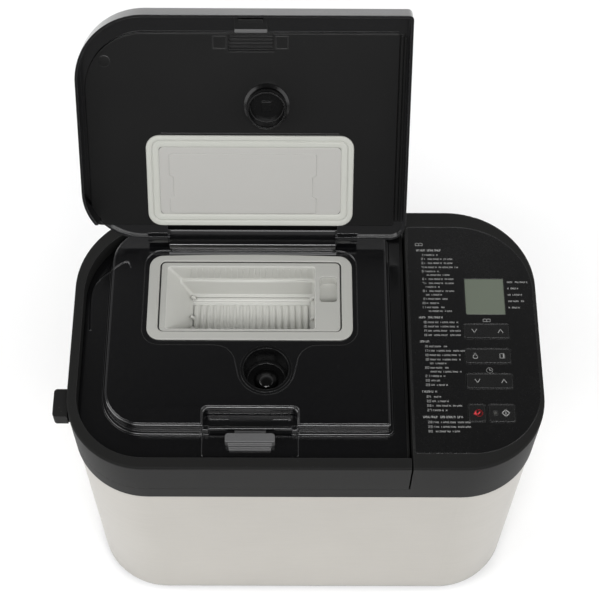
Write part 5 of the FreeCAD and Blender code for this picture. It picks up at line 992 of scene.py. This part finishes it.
# each group: letters in its heading, then the letters of each line; a minus sign continues the line above
PROGRAMMES = (
    (15, (8, 16, 16, 19, 8, -14, 16, 16, -8, 16, -9, 12, 7, 10, -14)),
    (13, (17, 17, 18, 18)),
    (6, (10, 20, 17, 17, -9, 10, -17, 8, 6, 9)),
    (8, (5, 9, 16, 8)),
    (21, (20, 20, 14)),
)
LIST_X, LIST_TOP, LIST_LEAN = 99.4, 84.8, 0.011
PITCH = 1.58
panel_work, panel_add = flat_marks(PANEL + 0.12)
row_y = LIST_TOP
number = 0
for heading, lines in PROGRAMMES:
    words(panel_add, LIST_X, row_y, heading, PITCH * 1.02, 2.0, 0.88)
    row_y -= 0.4
    for letters in lines:
        row_y -= 4.23 if letters > 0 else 3.75
        inset = (LIST_TOP - row_y) * LIST_LEAN
        if letters > 0:
            number += 1
            for place, figure in enumerate(reversed(str(number))):
                for outline in digit(figure, LIST_X + 4.2 + inset - place * 2.0, row_y, 1.2, 1.8, 0.45):
                    panel_add(outline)
        words(panel_add, LIST_X + 6.7 + inset, row_y, abs(letters), PITCH, 1.5, 0.78)
    row_y -= 6.5
for line, letters in enumerate((13, 7, 9, 10, 7)):
    words(panel_add, 178.8, 52.4 - line * 6.45, letters, 1.42, 1.6, 0.78)


def book(x, y, w):
    """Open book: two pages with a dipped spine."""
    half = w / 2
    return [outline for side in (-1, 1) for outline in stroke(
        [(x, y - 1.0), (x + side * half * 0.5, y - 0.6), (x + side * half, y - 0.9),
         (x + side * half, y + 1.6),
         (x + side * half * 0.5, y + 1.9), (x, y + 1.5), (x, y - 1.0)], 0.5)]


for outline in book(101.9, 91.4, 6.2) + book(158.6, 14.1, 6.2):
    panel_add(outline)
clock = circle(158.2, -34.3, 2.6, 20)
for outline in stroke(clock + clock[:1], 0.55) + stroke([(158.2, -32.6), (158.2, -34.3), (159.7, -34.3)],
                                                        0.5):
    panel_add(outline)
panel_marks = bpy.data.meshes.new("marks")
panel_work.to_mesh(panel_marks)
panel_work.free()
piece("panel_print", panel_marks, ink_white, "root", "gloss_black")

# ---- display -----------------------------------------------------------------------------------------
# Liquid crystal display: the module and a blank grey-green face that takes the window's place, just below the
# overlay.
lcd_panel = finish("lcd_panel", (0.100, 0.116, 0.090), 0.30, edge_wear_highlight_share=0.0, grain=1600.0, bump=0.02, cloud=0.05)
dress(lcd_panel, "lcd_module")
lcd_face = plate([rounded(141.0, 175.6, 20.8, 56.6, (1.4, 0.5, 0.5, 0.5), 4)], PANEL - 1.45, PANEL - 0.25,
                 0.35, 3)
piece("lcd_face", lcd_face, lcd_panel, "root", "lcd_glass", "lcd_window")

# ---- keys --------------------------------------------------------------------------------------------
# Three rocker keys and two push keys, gloss black caps that stand just proud of the overlay, each with
# its own printed mark.
# The caps' edges are lightened strongly in colour: painted highlight along the rounded edges, partly wear.
key_black = finish("key_black", (0.0062, 0.0062, 0.0062), 0.26, edge_wear_highlight=(0.16, 0.16, 0.16), edge_wear_highlight_share=0.9,
                   grain=700.0,
                   bump=0.03, cloud=0.1, lint=0.08, smear=0.05)
KEY_TOP = span("menu_key")[1].z
LEFT_MARK, RIGHT_MARK = 147.2, 170.0


def chevron(x, y, way):
    return stroke([(x - 2.1, y + way * 1.7), (x, y - way * 1.7), (x + 2.1, y + way * 1.7)], 0.55)


def loaf(x, y):
    """Loaf-size mark: a small jar outline with a knob."""
    body = [(x - 1.7, y - 2.4), (x + 1.7, y - 2.4), (x + 1.9, y - 0.4), (x + 0.7, y + 1.2),
            (x + 0.5, y + 2.5),
            (x - 0.5, y + 2.5), (x - 0.7, y + 1.2), (x - 1.9, y - 0.4), (x - 1.7, y - 2.4)]
    return stroke(body, 0.65)


def crust(x, y):
    """Crust mark: a square slice, half filled."""
    edge = [(x - 2.0, y - 2.1), (x + 2.0, y - 2.1), (x + 2.0, y + 2.1), (x - 2.0, y + 2.1),
            (x - 2.0, y - 2.1)]
    return stroke(edge, 0.5) + [bar(x + 0.6, x + 2.1, y - 2.1, y + 2.1)]


def diamond(x, y):
    edge = [(x, y - 3.1), (x + 3.3, y), (x, y + 3.1), (x - 3.3, y), (x, y - 3.1)]
    return stroke(edge, 0.75) + [bar(x - 0.35, x + 0.35, y - 1.5, y + 1.5)]


def turn_back(x, y):
    """Stop mark: a solid arrow that turns back on itself."""
    ring = [(x + 3.0 * math.cos(math.radians(a)), y + 2.9 * math.sin(math.radians(a))) for a in range(-150, 151, 20)]
    return stroke(ring, 1.1) + [[(x - 4.6, y - 1.3), (x - 1.2, y - 1.3), (x - 2.9, y + 1.5)]] + stroke(
        [(x - 0.6, y - 1.0), (x + 0.9, y + 0.9)], 1.0)


def key_cap(x0, x1, y, height, rib_half, rib_low):
    cap = plate([rounded(x0, x1, y - height / 2, y + height / 2, [2.2] * 4, 6)], KEY_TOP - 2.6, KEY_TOP,
                0.6, 4)
    mid = (x0 + x1) / 2
    if rib_half:
        stem = plate([rounded(mid - 1.2, mid + 1.2, y - rib_half, y + rib_half, [0.3] * 4, 2)], rib_low,
                     KEY_TOP - 2.0, 0.2)
    else:
        stem = plate([circle(mid, y, 1.9, 24)], rib_low, KEY_TOP - 2.0, 0.2)
    return merged(cap, stem)


def key_print(name, outlines, ink, body):
    work, add = flat_marks(KEY_TOP - 0.02)
    for outline in outlines:
        add(outline)
    film = bpy.data.meshes.new("film")
    work.to_mesh(film)
    work.free()
    piece(name, film, ink, body, "key_black")


ROCKERS = (("menu", chevron(LEFT_MARK, KEY_ROWS[0], 1) + chevron(RIGHT_MARK, KEY_ROWS[0], -1)),
           ("size_crust", loaf(LEFT_MARK - 0.6, KEY_ROWS[1]) + crust(RIGHT_MARK, KEY_ROWS[1])),
           ("timer", chevron(LEFT_MARK, KEY_ROWS[2], 1) + chevron(RIGHT_MARK, KEY_ROWS[2], -1)))
for (name, marks), y in zip(ROCKERS, KEY_ROWS):
    rib_low = span(name + "_key")[0].z
    piece(name + "_cap", key_cap(KEY_X0, KEY_X1, y, 13.9, 5.9, rib_low), key_black, "key_" + name,
          "key_black",
          name + "_key")
    key_print(name + "_print", marks, ink_white, "key_" + name)
stop_low = span("stop_key")[0].z
piece("stop_cap", key_cap(KEY_X0, KEY_X0 + 14.4, PUSH_Y, 16.2, 0, stop_low), key_black, "key_stop",
      "key_black",
      "stop_key")
key_print("stop_print", turn_back(146.7, PUSH_Y), ink_red, "key_stop")
start_cap = plate([rounded(KEY_X0 + 17.4, KEY_X1, PUSH_Y - 8.1, PUSH_Y + 8.1, [2.2] * 4, 6),
                   circle(160.8, PUSH_Y, 1.9, 24)], KEY_TOP - 2.6, KEY_TOP, 0.6, 4)
start_stem = plate([circle(KEY_X1 - 7.5, PUSH_Y, 1.9, 24)], stop_low, KEY_TOP - 2.0, 0.2)
piece("start_cap", merged(start_cap, start_stem), key_black, "key_start", "key_black", "start_key")
key_print("start_print", diamond(169.6, PUSH_Y), ink_white, "key_start")
lamp_lens = finish("lamp_lens", (0.045, 0.045, 0.042), 0.2, grain=900.0, bump=0.02)
dress(lamp_lens, "start_lamp")
